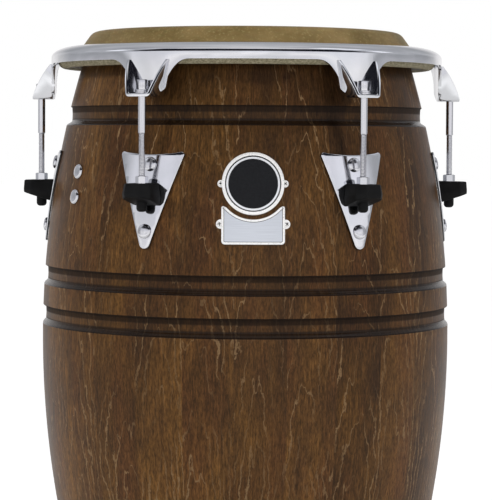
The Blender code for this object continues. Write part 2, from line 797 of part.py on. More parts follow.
def bumper_mesh():
    """Moulded rubber cover of a lug: a block with a nose, a blind sleeve for the rod, and a back pocket."""
    top = shelf_top + bumper_rise
    waist = top - bumper_waist
    low_back = top - bumper_back_height
    low_nose = top - bumper_nose_height
    work = bmesh.new()
    levels = [
        bumper_ring(work, bumper_half - bumper_taper, low_back, low_nose),
        bumper_ring(work, bumper_half, waist - bumper_taper, waist),
        bumper_ring(work, bumper_half_top + bumper_edge / 2, top - bumper_edge, top - bumper_edge),
        bumper_ring(work, bumper_half_top - bumper_edge / 2, top, top, bumper_edge),
    ]
    for (_, lower), (_, upper) in zip(levels, levels[1:]):
        bmesh.ops.bridge_loops(work, edges=lower + upper)
    bmesh.ops.contextual_create(work, geom=levels[0][0])
    bmesh.ops.contextual_create(work, geom=levels[-1][0])
    block = mesh_from(work, "bumper")
    outside = thread_hole + sleeve_wall
    well = height - rod_end - tighten_travel - sleeve_floor
    bottom = well - sleeve_floor
    sleeve = [(bottom, outside - sleeve_corner, 0), (bottom + sleeve_corner, outside, 0), (waist, outside, 0)]
    with_sleeve = combined(block, [stack_mesh("sleeve", sleeve, 10, places=[at_rod])], "UNION")
    pocket_low = shelf_top - shelf - seat_gap - nut_foot - pocket_gap
    top_hole = [(shelf_top, barrel_hole, 0), (top + bumper_rise, barrel_hole, 0)]
    well_hole = [(well, thread_hole, 0), (shelf_top, thread_hole, 0)]
    half = shelf_half + pocket_gap
    high = shelf_top + seat_gap
    section = [(-half, pocket_low), (half, pocket_low), (half, high), (-half, high)]
    holes = [
        prism("pocket", section, edge_radius, rod_radius + shelf_past_rod + pocket_gap),
        stack_mesh("top_hole", top_hole, 10, places=[at_rod]),
        stack_mesh("well", well_hole, 10, places=[at_rod]),
    ]
    return combined(with_sleeve, holes, "DIFFERENCE")


# Bolts through the shell


def carriage_bolt(lift, head_radius, neck):
    """Levels of a round-headed bolt whose head sits at a lift above the wood, from its end to its crown."""
    end = -(inner_depth + backing + seat_gap + bolt_nut + bolt_spare)
    levels = [(end, bolt_radius, 0)]
    if neck:
        levels += [(lift - plate, bolt_radius, 0), (lift - plate, neck_across / 2, 4)]
    levels += [(lift, levels[-1][1], levels[-1][2]), (lift, head_radius, 0)]
    for turn in (dome_end / 2, dome_end):
        levels.append((lift + bolt_head * math.sin(turn), head_radius * math.cos(turn), 0))
    return levels


def place_shell_bolts(steel, chrome):
    """Two bolts through each side plate into a backing strap, and two by themselves with loose nuts."""
    head_seat = seat_gap + plate + seat_gap
    plate_bolt = stack_mesh("plate_bolt", carriage_bolt(head_seat, bolt_head_radius, True), 8)
    side_bolt = stack_mesh("side_bolt", carriage_bolt(seat_gap, side_head_radius, False), 12)
    side_nut = stack_mesh("side_nut", inner_nut(seat_gap), 6, bored=True)
    strip = backing_mesh("backing_strap", (upper_bolt, lower_bolt), True)
    for index, angle in enumerate(lug_angles, start=1):
        add(f"plate_bolt_{index}_upper", plate_bolt, chrome, seat(angle, upper_bolt))
        add(f"plate_bolt_{index}_lower", plate_bolt, chrome, seat(angle, lower_bolt))
        add(f"backing_strap_{index}", strip, steel, round_the_drum(angle))
    for end, place in zip(("upper", "lower"), side_bolt_seats):
        add(f"side_bolt_{end}", side_bolt, chrome, place)
        add(f"side_nut_{end}", side_nut, steel, place)
    levels = [height - drop for drop in side_bolt_drops]
    add("side_backing", backing_mesh("side_backing", levels, False), steel, round_the_drum(side_bolt_angle))


def inner_nut(gap):
    """Levels of a hexagon nut behind a backing plate, inwards from the shell's outside."""
    low = -(inner_depth + backing + gap)
    bore = bolt_radius + seat_gap
    levels = [(low, bore, 6), (low, bolt_nut_across / 2, 6)]
    return levels + [(low - bolt_nut, bolt_nut_across / 2, 6), (low - bolt_nut, bore, 6)]


def backing_mesh(name, levels, with_nuts):
    """A steel strip bent to the inside of the shell and bored for two bolts, its nuts welded on or loose."""
    high = max(levels) + backing_margin
    low = min(levels) - backing_margin
    inner = backing_half - backing_corner
    right = [(inner, low), (backing_half, low + backing_corner)]
    right += [(backing_half, high - backing_corner), (inner, high)]
    left = [(-across, level) for across, level in reversed(right)]
    cuts = [((0, 0, low + (high - low) * share), (0, 0, 1)) for share in (1 / 3, 2 / 3)]
    strip = prism(name, right + left, -inner_depth, -inner_depth - backing, cuts)
    on_shell(strip, (low + high) / 2)
    places = [seat(0.0, level) for level in levels]
    if with_nuts:
        strip = combined(strip, [stack_mesh("nuts", nut_block(), 6, places=places)], "UNION")
    holes = stack_mesh("holes", [(-3 * wall, bolt_hole, 0), (wall, bolt_hole, 0)], 8, places=places)
    return combined(strip, [holes], "DIFFERENCE")


def nut_block():
    """Levels of a welded nut before it is bored, sunk a little into its strip."""
    low = -(inner_depth + backing / 2)
    return [(low, bolt_nut_across / 2, 6), (low - backing / 2 - bolt_nut, bolt_nut_across / 2, 6)]


# Badge and name plate


def facing(level):
    """Place with its Z towards the front, at a height on the axis."""
    return Matrix.Translation((0.0, 0.0, level)) @ Matrix.Rotation(math.pi / 2, 4, "X")


def badge_mesh():
    """A round badge with a raised rim and two screw tabs, bent onto the shell."""
    ring_mid = (badge_face + badge_radius) / 2
    levels = [
        (seat_gap, badge_face / 2, 0),
        (seat_gap, badge_radius - badge_sheet, 0),
        (seat_gap + badge_edge, badge_radius, 0),
        (seat_gap + badge_ring, ring_mid + badge_crest, 0),
        (seat_gap + badge_ring, ring_mid - badge_crest, 0),
        (seat_gap + badge_sheet, badge_face, 0),
        (seat_gap + badge_sheet, badge_face / 2, 0),
    ]
    disc = stack_mesh("badge", levels, 24)
    upright = facing(badge_height)
    disc.transform(upright)
    tab = [(seat_gap, badge_tab_radius, 0), (seat_gap + tab_sheet, badge_tab_radius, 0)]
    sides = [upright @ Matrix.Translation((side * badge_tab_out, 0.0, 0.0)) for side in (-1, 1)]
    tabs = [stack_mesh("tab", tab, 10, places=[place]) for place in sides]
    return on_shell(combined(disc, tabs, "UNION"), badge_height)


def name_plate_mesh():
    """A bare plate under the badge, hollowed to follow it, with two screw tabs, bent onto the shell."""
    low = badge_height - name_bottom
    horn_in = name_half - 2 * name_horn
    horn_low = badge_height - math.sqrt(name_hollow**2 - horn_in**2)
    horn_high = horn_low + name_horn
    hollow = []
    for step in range(9):
        turn = math.asin(horn_in / name_hollow) * (1 - step / 4)
        hollow.append((name_hollow * math.sin(turn), badge_height - name_hollow * math.cos(turn)))
    right = rounded((name_half, low), (0.0, low), (name_half, horn_high), name_corner, 2)
    right += rounded((name_half, horn_high), (name_half, low), (horn_in, horn_low), name_horn / 2, 2)
    left = [(-across, level) for across, level in reversed(right)]
    outline = [*right, *hollow, *left]
    step = 2 * math.pi / facets * shell_radius(badge_height)
    cuts = [((across, 0, 0), (1, 0, 0)) for across in (-step / 2, 0.0, step / 2)]
    blank = prism("name_plate", outline, seat_gap, seat_gap + name_sheet, cuts)
    middle = facing(badge_height - name_tab_drop)
    sides = [middle @ Matrix.Translation((side * name_tab_out, 0.0, 0.0)) for side in (-1, 1)]
    tab = [(seat_gap, name_tab_radius, 0), (seat_gap + tab_sheet, name_tab_radius, 0)]
    tabs = [stack_mesh("tab", tab, 10, places=[place]) for place in sides]
    return on_shell(combined(blank, tabs, "UNION"), badge_height)


# The drum

stained_wood = material("stained_wood", (0.098, 0.040, 0.016), 0.38, 0.0)
rawhide = material("rawhide", (0.42, 0.29, 0.13), 0.55, 0.0)
polished_chrome = material("polished_chrome", (0.80, 0.80, 0.82), 0.08, 1.0)
zinc_steel = material("zinc_steel", (0.55, 0.55, 0.53), 0.35, 1.0)
black_rubber = material("black_rubber", (0.012, 0.012, 0.013), 0.62, 0.0)
black_enamel = material("black_enamel", (0.015, 0.015, 0.017), 0.3, 0.0)
brushed_plate = material("brushed_plate", (0.60, 0.61, 0.64), 0.3, 0.9)

make_shell(stained_wood)
make_foot_ring(black_rubber)
make_head(rawhide)
make_flesh_hoop(zinc_steel)
make_crown(polished_chrome)

strap_shape = strap_mesh()
rod_shape = rod_mesh()
nut_shape = nut_mesh()
plate_shape = plate_mesh()
bumper_shape = bumper_mesh()
for number, lug in enumerate(lug_angles, start=1):
    around = round_the_drum(lug)
    on_axis = around @ Matrix.Translation((0.0, -rod_radius, 0.0))
    add(f"ear_strap_{number}", strap_shape, polished_chrome, around)
    add(f"tuning_rod_{number}", rod_shape, polished_chrome, on_axis)
    add(f"rod_nut_{number}", nut_shape, polished_chrome, on_axis)
    add(f"side_plate_{number}", plate_shape, polished_chrome, around)
    add(f"bumper_{number}", bumper_shape, black_rubber, around)

place_shell_bolts(zinc_steel, polished_chrome)
add("badge", badge_mesh(), black_enamel)
add("name_plate", name_plate_mesh(), brushed_plate)
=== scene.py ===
# %% [markdown]
# # A top-tuned conga drum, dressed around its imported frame
#
# The frame holds every solid of the drum at its true size: shell, head, crown rim, tuning rods, side
# plates. This script gives each of them the finish and the fine shape of a real drum: camera and light
# first, then the finishes, then the pieces one by one. Everything is in metres, with Z up and the badge
# facing -Y.

import math

import bmesh
import bpy
from mathutils import Matrix, Vector


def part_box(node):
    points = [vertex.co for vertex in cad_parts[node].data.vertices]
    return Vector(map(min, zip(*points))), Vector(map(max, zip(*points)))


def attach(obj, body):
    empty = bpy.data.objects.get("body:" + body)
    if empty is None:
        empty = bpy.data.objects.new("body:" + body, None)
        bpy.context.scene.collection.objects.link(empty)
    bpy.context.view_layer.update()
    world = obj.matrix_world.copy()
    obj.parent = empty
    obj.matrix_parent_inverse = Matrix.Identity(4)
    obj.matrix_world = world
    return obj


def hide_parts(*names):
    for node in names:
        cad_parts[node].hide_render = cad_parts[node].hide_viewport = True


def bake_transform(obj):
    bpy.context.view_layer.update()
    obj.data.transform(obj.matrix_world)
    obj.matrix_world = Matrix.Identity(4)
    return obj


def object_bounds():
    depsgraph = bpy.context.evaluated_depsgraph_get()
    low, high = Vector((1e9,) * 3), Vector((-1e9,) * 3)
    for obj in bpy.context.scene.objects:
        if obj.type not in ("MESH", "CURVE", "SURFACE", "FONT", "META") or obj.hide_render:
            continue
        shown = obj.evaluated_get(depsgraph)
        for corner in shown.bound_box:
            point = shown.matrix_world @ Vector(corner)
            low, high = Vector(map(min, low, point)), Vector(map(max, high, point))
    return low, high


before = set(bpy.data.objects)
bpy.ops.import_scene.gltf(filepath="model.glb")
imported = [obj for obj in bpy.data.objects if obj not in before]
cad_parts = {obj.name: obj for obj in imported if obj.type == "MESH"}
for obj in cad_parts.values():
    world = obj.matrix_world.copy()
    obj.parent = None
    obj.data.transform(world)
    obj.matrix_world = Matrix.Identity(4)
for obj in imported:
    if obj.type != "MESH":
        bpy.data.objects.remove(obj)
cad_low, cad_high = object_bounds()
print("box of the solids in mm:", [round(1000 * side, 1) for side in cad_high - cad_low])

# %% [markdown]
# ## Sizes
#
# A turned drum is one curve swept round an axis, so most places follow from a few numbers: where the
# belly is, how the stave bows, and how far each piece of hardware stands from the bearing edge. They
# are written once here, in millimetres times MM, and the pieces below work from them.

# %% Driving sizes
MM = 0.001
height = cad_high.z
belly_radius = 202.1 * MM
belly_height = 460.6 * MM
bow_radius = 945.0 * MM
taper_start = 275.0 * MM
wall = 11.5 * MM
edge_round = 5.7 * MM
skin = 2.0 * MM
seat_gap = 0.3 * MM
hoop_reach = 24.6 * MM
hoop_half_width = 4.8 * MM
hoop_drop = 29.4 * MM
skirt_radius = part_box("crown_rim")[1].y
lug_angles = [math.radians(30 + 60 * index) for index in range(6)]
groove_height = 18.0 * MM
groove_tops = [height - 74.3 * MM, belly_height + 71.0 * MM, belly_height + 32.0 * MM]
groove_steps = [1.2 * MM, 2.4 * MM, 2.6 * MM]


def shell_lean(level):
    """Angle by which the stave's outside looks up."""
    return math.asin((max(level, taper_start) - belly_height) / bow_radius)


def shell_radius(level):
    """Outside radius of the stave at a height, without its grooves."""
    bowed = max(level, taper_start) - belly_height
    radius = belly_radius - bow_radius + math.sqrt(bow_radius**2 - bowed**2)
    return radius + max(0.0, taper_start - level) * math.tan(shell_lean(taper_start))


edge_height = height - skin - seat_gap - edge_round
edge_centre = shell_radius(edge_height) - edge_round
hoop_radius = shell_radius(edge_height) + hoop_reach
rod_radius = skirt_radius + 9.95 * MM
print("bearing edge", round(edge_centre / MM, 1), "mm, rods on a circle of", round(rod_radius / MM, 1), "mm")


def seat(angle, level, lift=0.0):
    """Place with its Z square to the shell at an angle round it and a height."""
    lean = shell_lean(level)
    outward = Vector((math.cos(lean) * math.sin(angle), -math.cos(lean) * math.cos(angle), math.sin(lean)))
    along = Vector((math.cos(angle), math.sin(angle), 0.0))
    radius = shell_radius(level)
    foot = Vector((radius * math.sin(angle), -radius * math.cos(angle), level)) + outward * lift
    return Matrix.Translation(foot) @ Matrix((along, outward.cross(along), outward)).transposed().to_4x4()


# %% [markdown]
# ## Camera
#
# The photograph was taken with a long lens: the rim at the front is only a little larger than the rim
# at the back. How much larger gives the distance, and the height at which the rings of the drum look
# like straight lines gives the height of the lens. The camera is turned two degrees to the drum's left
# because the badge stands just right of the axis.

# %% Camera
image_width, image_height = 492, 500
focal_pixels = 2200.0
camera_distance = 2.2
camera_height = 655.5 * MM
horizon_row = 140.4  # picture row that lies level with the lens
axis_column = 245.6  # picture column of the drum's axis at half height
camera_turn = math.radians(-2.0)
camera_roll = math.radians(0.30)

camera_data = bpy.data.cameras.new("camera")
camera_data.sensor_width = 36.0
camera_data.lens = focal_pixels / image_height * camera_data.sensor_width
camera = bpy.data.objects.new("camera", camera_data)
bpy.context.scene.collection.objects.link(camera)
bpy.context.scene.camera = camera
pitch = math.atan((image_height / 2 - horizon_row) / focal_pixels)
yaw = math.atan((image_width / 2 - axis_column) / focal_pixels)
stand = Vector((math.sin(camera_turn), -math.cos(camera_turn), 0.0)) * camera_distance
stand.z = camera_height
turn = Matrix.Rotation(camera_turn - yaw, 4, "Z") @ Matrix.Rotation(math.pi / 2 - pitch, 4, "X")
camera.matrix_world = Matrix.Translation(stand) @ turn @ Matrix.Rotation(camera_roll, 4, "Z")
print("lens", round(camera_data.lens, 1), "mm, looking down", round(math.degrees(pitch), 2), "degrees")

# %% [markdown]
# ## Helpers for node trees
#
# Light and finishes are node trees. A node is made and fed in one call, in the tree that its feeding
# sockets belong to. Sums, ranges, noise, colour ramps and mixes have short names, which keeps the
# trees readable. Every finish reads Object coordinates, so its pattern lies in the piece itself.

# %% Node helpers
white = (1.0, 1.0, 1.0, 1.0)


def connect(node, inputs):
    """Links or sets inputs of a node."""
    for key, value in inputs.items():
        if isinstance(value, bpy.types.NodeSocket):
            node.id_data.links.new(value, node.inputs[key])
        else:
            node.inputs[key].default_value = value


def wire(kind, inputs, output=0, **settings):
    """A node with its settings, in the tree of the sockets that feed it; one output is returned."""
    feeding = [value for value in inputs.values() if isinstance(value, bpy.types.NodeSocket)]
    made = feeding[0].id_data.nodes.new(kind)
    for name, value in settings.items():
        setattr(made, name, value)
    connect(made, inputs)
    return made.outputs[output]


def calc(operation, *values):
    """One step of arithmetic."""
    return wire("ShaderNodeMath", dict(enumerate(values)), operation=operation)


def times(first, *others):
    """Product of values."""
    for other in others:
        first = calc("MULTIPLY", first, other)
    return first


def plus(first, *others):
    """Sum of values."""
    for other in others:
        first = calc("ADD", first, other)
    return first


def ranged(value, low, high, to_low=0.0, to_high=1.0, kind="LINEAR"):
    """A value carried from one range to another and held inside it."""
    inputs = {"Value": value, "From Min": low, "From Max": high, "To Min": to_low, "To Max": to_high}
    return wire("ShaderNodeMapRange", inputs, interpolation_type=kind)


def noise(place, cells, detail=2.0, rough=0.5):
    """Noise with a number of cells per metre, or with one number for each direction."""
    scales = cells if isinstance(cells, tuple) else (cells, cells, cells)
    spread = wire("ShaderNodeVectorMath", {0: place, 1: scales}, operation="MULTIPLY")
    return wire("ShaderNodeTexNoise", {"Vector": spread, "Scale": 1.0, "Detail": detail, "Roughness": rough})


def tones(value, stops):
    """Colour ramp from (position, colour) stops."""
    ramp = wire("ShaderNodeValToRGB", {0: value}).node
    for _ in stops[2:]:
        ramp.color_ramp.elements.new(0.5)
    for element, (position, colour) in zip(ramp.color_ramp.elements, stops):
        element.position = position
        element.color = (*colour, 1.0)
    return ramp.outputs[0]


def mixed(share, first, second, way="MIX"):
    """Two colours mixed by a share."""
    inputs = {0: share}
    for key, value in ((6, first), (7, second)):
        inputs[key] = value if isinstance(value, bpy.types.NodeSocket) else (*value, 1.0)
    return wire("ShaderNodeMix", inputs, 2, data_type="RGBA", blend_type=way)


def new_finish(name):
    """A new material, the place on its piece in metres, and its shader."""
    made = bpy.data.materials.new(name)
    made.use_nodes = True
    nodes = made.node_tree.nodes
    return made, nodes.new("ShaderNodeTexCoord").outputs["Object"], nodes["Principled BSDF"]


# %% [markdown]
# ## Floor, world and lamps
#
# A white world and a pale floor give the clean studio background. The floor's own glow grows with the
# distance from the drum: far off it is as white as the world, and near the drum it leaves the shadow
# to be seen. Five lamps light the wood: one at the left front, its twin at the right, a wide one in
# front, and two small ones far round, which draw out the shell's edges. Metal doesn't mirror them.

# %% Floor and world
scene = bpy.context.scene
scene.view_settings.view_transform = "Standard"
world_light = 0.31
floor_tone = 0.50
floor_light = 0.10
near_glow, far_glow = 0.40, 0.80
glow_starts, glow_ends = 1.25, 1.85


def seen_directly(tree):
    """One for rays that show the background itself: from the camera, from metal and through glass."""
    path = tree.nodes.new("ShaderNodeLightPath").outputs
    seen = calc("MAXIMUM", path["Is Camera Ray"], path["Is Glossy Ray"])
    return calc("MAXIMUM", seen, path["Is Transmission Ray"])


def studio_piece(name, work, paint):
    """An object of the studio from a finished bmesh."""
    mesh = bpy.data.meshes.new(name)
    work.to_mesh(mesh)
    work.free()
    mesh.materials.append(paint)
    made = bpy.data.objects.new(name, mesh)
    scene.collection.objects.link(made)
    return made


world = bpy.data.worlds.new("studio")
scene.world = world
world.use_nodes = True
strength = ranged(seen_directly(world.node_tree), 0.0, 1.0, world_light, 1.0)
connect(world.node_tree.nodes["Background"], {"Color": white, "Strength": strength})

floor_paint, place, shader = new_finish("floor_paint")
from_drum = wire("ShaderNodeVectorMath", {0: place}, "Value", operation="LENGTH")
glow = ranged(from_drum, glow_starts, glow_ends, near_glow, far_glow, "SMOOTHSTEP")
glow = ranged(seen_directly(floor_paint.node_tree), 0.0, 1.0, floor_light, glow)
connect(shader, {"Base Color": (floor_tone, floor_tone, floor_tone, 1.0), "Roughness": 0.9,
                 "Emission Color": white, "Emission Strength": glow})
work = bmesh.new()
bmesh.ops.create_grid(work, x_segments=1, y_segments=1, size=30.0)
floor = studio_piece("floor", work, floor_paint)

# %% Lamps
drum_middle = Vector((0.0, 0.0, 0.60))


def soft_lamp(name, angle, rise, distance, wide, high, power):
    """A soft box that faces the drum from an angle round it and a rise above it, in degrees."""
    lamp = bpy.data.lights.new(name, "AREA")
    lamp.shape = "RECTANGLE"
    lamp.size = wide
    lamp.size_y = high
    lamp.energy = power
    made = bpy.data.objects.new(name, lamp)
    scene.collection.objects.link(made)
    turned, up = math.radians(angle), math.radians(rise)
    away = Vector((math.sin(turned) * math.cos(up), -math.cos(turned) * math.cos(up), math.sin(up)))
    made.location = drum_middle + away * distance
    made.rotation_mode = "QUATERNION"
    made.rotation_quaternion = away.to_track_quat("Z", "Y")
    made.visible_glossy = False


soft_lamp("key", -56, 29, 2.4, 0.25, 0.25, 22.0)
soft_lamp("fill", 56, 29, 2.4, 0.25, 0.25, 21.0)
soft_lamp("front", 0, 10, 2.6, 1.8, 1.0, 13.0)
soft_lamp("key_edge", -84, 30, 2.4, 0.2, 0.3, 7.5)
soft_lamp("fill_edge", 84, 30, 2.4, 0.2, 0.3, 5.0)

# %% [markdown]
# ## Surroundings for the chrome
#
# A white room alone would leave the chrome white all over. A photographer stands grey and black panels
# round the drum. Here they are one dome, which only glossy surfaces show, painted by direction: a pale
# wall in front with a black bar over it, which draws the thin line along the rim, darker walls at the
# sides, a wall behind that is pale near the floor, and a grey ceiling. Slow folds in the paint and a
# few brighter patches keep the reflections from looking drawn.

# %% Dome of panels
dome_radius = 4.0
dome_centre = (0.0, 0.0, 0.72)
dome_strength = 1.18
black = (0.015, 0.015, 0.02)

dome_paint, place, shader = new_finish("panel_paint")
from_centre = wire("ShaderNodeVectorMath", {0: place, 1: dome_centre}, operation="SUBTRACT")
way = wire("ShaderNodeVectorMath", {0: from_centre}, operation="NORMALIZE")
parts = wire("ShaderNodeSeparateXYZ", {0: way}).node.outputs
risen = calc("ARCSINE", parts[2])
rise = ranged(risen, -math.pi / 2, math.pi / 2)
turned_right = calc("ARCTAN2", parts[0], times(parts[1], -1.0))
turned_away = calc("ABSOLUTE", turned_right)


def panel(*stops):
    """Colours of a wall, each with the rise in degrees at which it is seen."""
    return tones(rise, [((degrees + 90.0) / 180.0, colour) for degrees, colour in stops])


def soft_band(value, low, high, blur):
    """One between two angles in degrees, falling to nothing over a blur on either side."""
    after = ranged(value, math.radians(low - blur), math.radians(low), kind="SMOOTHSTEP")
    before = ranged(value, math.radians(high + blur), math.radians(high), kind="SMOOTHSTEP")
    return times(after, before)


front_wall = panel(
    (-6, (0.80, 0.80, 0.84)), (3, (0.95, 0.94, 0.95)), (10, (0.80, 0.81, 0.87)), (19, (0.80, 0.80, 0.86)),
    (21, black), (56, black), (59, (0.68, 0.68, 0.70)), (90, (0.64, 0.64, 0.66)))
side_wall = panel(
    (-8, (0.50, 0.50, 0.53)), (6, (0.36, 0.37, 0.39)), (30, (0.52, 0.53, 0.56)), (50, (0.36, 0.37, 0.40)),
    (75, (0.50, 0.50, 0.53)), (90, (0.64, 0.64, 0.66)))
back_wall = panel(
    (0, (0.78, 0.77, 0.77)), (10, (0.70, 0.69, 0.70)), (24, (0.36, 0.37, 0.39)), (50, (0.46, 0.47, 0.49)),
    (90, (0.62, 0.62, 0.64)))
beside = ranged(turned_away, math.radians(68), math.radians(80), kind="SMOOTHSTEP")
behind = ranged(turned_away, math.radians(122), math.radians(150), kind="SMOOTHSTEP")
walls = mixed(behind, mixed(beside, front_wall, side_wall), back_wall)

folds = wire("ShaderNodeTexNoise", {"Vector": way, "Scale": 3.5, "Detail": 2.0})
shade = ranged(folds, 0.3, 0.7, 0.84, 1.10)
# Each patch: from and to degrees round the drum, from and to degrees of rise, and its gain.
patches = [(-97, -87, 29, 42, 1.3), (-96, -76, 50, 62, 0.4), (72, 108, 50, 66, 1.3), (88, 97, 29, 42, 1.3)]
for start, end, low, high, gain in patches:
    patch = times(soft_band(turned_right, start, end, 4), soft_band(risen, low, high, 3))
    shade = calc("MULTIPLY_ADD", patch, gain, shade)
painted = wire("ShaderNodeVectorMath", {0: walls, "Scale": shade}, operation="SCALE")
connect(shader, {"Base Color": (0.0, 0.0, 0.0, 1.0), "Specular IOR Level": 0.0,
                 "Emission Color": painted, "Emission Strength": dome_strength})

work = bmesh.new()
bmesh.ops.create_uvsphere(work, u_segments=96, v_segments=48, radius=dome_radius,
                          matrix=Matrix.Translation(dome_centre))
dome = studio_piece("panel_dome", work, dome_paint)
dome.data.shade_smooth()
dome.visible_camera = dome.visible_diffuse = dome.visible_shadow = dome.visible_transmission = False

# %% [markdown]
# ## Stained wood
#
# The shell is glued up from vertical staves, so neighbouring boards differ in tone and in the way the
# tree's growth rings cross them. A board cut far from the tree's heart shows straight lines, and one
# cut near it shows pointed arches. Both come from one rule: distance from a tilted line, the heart,
# counted in rings. A brown stain then sinks in unevenly, which gives soft clouds of dark and golden
# brown. Two dark stripes are painted into every groove: painted shade under its upper lip, and a
# stripe near its lower edge that is partly burnt in and partly painted shade.

# %% Rings of the tree
stave_count = 26
mean_radius = 195.0 * MM
ring_step = 6.2 * MM
heart_tilt = 0.115
stave_width = 2 * math.pi * mean_radius / stave_count
board_apart = 0.37

stained_wood, place, shader = new_finish("stained_wood")
across, depth, level = wire("ShaderNodeSeparateXYZ", {0: place}).node.outputs
bearing = calc("ARCTAN2", across, times(depth, -1.0))
count = calc("MULTIPLY_ADD", bearing, stave_count / (2 * math.pi), 0.35)
board = calc("FLOOR", count)
in_board = times(calc("SUBTRACT", calc("FRACT", count), 0.5), stave_width)
lot = wire("ShaderNodeTexWhiteNoise", {"W": plus(board, 7.0)}, 1, noise_dimensions="1D")
lots = wire("ShaderNodeSeparateColor", {0: lot}).node.outputs
flat_place = {0: times(bearing, mean_radius), 1: times(board, board_apart), 2: level}
unrolled = wire("ShaderNodeCombineXYZ", flat_place)


def swing(value, reach):
    """A value from nought to one carried to both sides of nought."""
    return ranged(value, 0.0, 1.0, -reach, reach)


def length_of(first, second):
    """Length of a slanted line from its two sides."""
    return calc("SQRT", plus(calc("POWER", first, 2.0), calc("POWER", second, 2.0)))


jags = noise(unrolled, (150.0, 1.0, 60.0), 3.0, 0.7)
sways = noise(unrolled, (16.0, 4.0, 11.0))
lifts = noise(unrolled, (55.0, 7.0, 14.0))
zigzags = noise(unrolled, (150.0, 9.0, 26.0), 1.0)
swayed = plus(swing(jags, 6 * MM), swing(sways, 14 * MM))
to_heart = plus(swing(lots[0], 18 * MM), plus(in_board, swayed))
lifted = plus(swing(lifts, 40 * MM), swing(zigzags, 26 * MM), level)
tilt = calc("MULTIPLY_ADD", lifted, heart_tilt, ranged(lots[1], 0.0, 1.0, -45 * MM, -15 * MM))
from_heart = length_of(to_heart, tilt)
rings = calc("DIVIDE", from_heart, ring_step)
pace = calc("DIVIDE", length_of(to_heart, times(tilt, heart_tilt)), from_heart)
pace = calc("MAXIMUM", pace, 0.08)
beside_line = calc("DIVIDE", times(calc("PINGPONG", rings, 0.5), ring_step), pace)
ring_line = ranged(beside_line, 0.3 * MM, 0.85 * MM, 1.0, 0.0)
print("staves:", stave_count, "of", round(stave_width / MM, 1), "mm")

# %% [markdown]
# The tone of the wood is a product: of the board's own tone, of fine fibres, flecks and pores, of the
# place in a ring, and of painted light and shade up the drum: darker towards the top, lighter lower
# down and again in a band just below the rim.
# Each groove's two dark stripes are painted shade under the upper lip, and burn with painted shade near the
# lower edge; its lower lip stays smooth, so that it glints.

# %% Tone of the wood
clouds = noise(unrolled, (22.0, 1.0, 9.0), 3.0, 0.6)
embers = noise(unrolled, (34.0, 2.0, 7.0))
fibres = noise(unrolled, (700.0, 1.0, 40.0), 3.0, 0.65)
flecks = noise(unrolled, (430.0, 1.0, 48.0), 2.0, 0.6)
pores = noise(unrolled, (800.0, 1.0, 190.0), 2.0, 0.7)
line_patches = noise(unrolled, (26.0, 3.0, 11.0))

brown = mixed(ranged(clouds, 0.38, 0.66), (0.049, 0.0225, 0.0078), (0.104, 0.048, 0.0125))
brown = mixed(ranged(embers, 0.48, 0.70, 0.0, 0.6), brown, (0.078, 0.031, 0.0105))
board_tone = ranged(lots[2], 0.0, 1.0, 0.82, 1.14)
fibre_tone = times(ranged(fibres, 0.25, 0.75, 0.76, 1.24), ranged(flecks, 0.28, 0.72, 0.68, 1.32))
pore_tone = ranged(pores, 0.3, 0.7, 0.50, 1.50)
late_tone = ranged(calc("FRACT", rings), 0.0, 1.0, 1.06, 0.92)
# Painted light and shade by height, in place of how the lamps fall: darker towards the top, lighter below and
# in a band just below the rim.
shade_painted_above = ranged(level, 590 * MM, 660 * MM, 1.08, 0.82, "SMOOTHSTEP")
light_painted_below = ranged(level, 330 * MM, 430 * MM, 1.20, 0.95, "SMOOTHSTEP")
light_painted_neck = ranged(level, 668 * MM, 695 * MM, 1.0, 1.16, "SMOOTHSTEP")
painted_light_by_level = times(shade_painted_above, light_painted_below, light_painted_neck)
tone = times(board_tone, fibre_tone, times(pore_tone, late_tone), painted_light_by_level)
brown = mixed(1.0, brown, wire("ShaderNodeCombineColor", {0: tone, 1: tone, 2: tone}), "MULTIPLY")
line_share = times(ring_line, ranged(line_patches, 0.42, 0.60, 0.05, 0.85))
brown = mixed(line_share, brown, (0.215, 0.130, 0.062))

groove_burn_and_shade = lip_gloss = 0.0
stripe_stops = [  # share of the way down a groove, and how dark it is painted there, as burn and painted shade
    (0.0, 0.84), (0.30, 0.80), (0.38, 0.30), (0.62, 0.30), (0.70, 0.84), (0.90, 0.88), (1.0, 0.96)]
for top in groove_tops:
    low = top - groove_height
    down = ranged(level, top, low)
    inside = times(calc("LESS_THAN", level, top + 0.4 * MM), calc("GREATER_THAN", level, low - 0.4 * MM))
    stripes = tones(down, [(position, (share, share, share)) for position, share in stripe_stops])
    groove_burn_and_shade = calc("MAXIMUM", groove_burn_and_shade, times(inside, stripes))
    lip_gloss = calc("MAXIMUM", lip_gloss, times(inside, ranged(down, 0.66, 0.72)))
# Groove stripes painted dark: painted shade under the upper lip, and burn with painted shade near the lower
# edge.
brown = mixed(groove_burn_and_shade, brown, (0.0080, 0.0048, 0.0032))
satin = ranged(fibres, 0.2, 0.8, 0.34, 0.48)
groove_roughness = calc("MAXIMUM", satin, times(groove_burn_and_shade, 0.85))
lip_smooth = ranged(lip_gloss, 0.0, 1.0, 1.0, 0.20)


def raised(shader, relief, depth):
    """Fine relief from a value, in metres."""
    bump = wire("ShaderNodeBump", {"Height": relief, "Distance": depth, "Strength": 1.0})
    connect(shader, {"Normal": bump})


gloss = calc("MINIMUM", groove_roughness, lip_smooth)
connect(shader, {"Base Color": brown, "Roughness": gloss, "Specular IOR Level": 0.13})
raised(shader, fibres, 0.10 * MM)
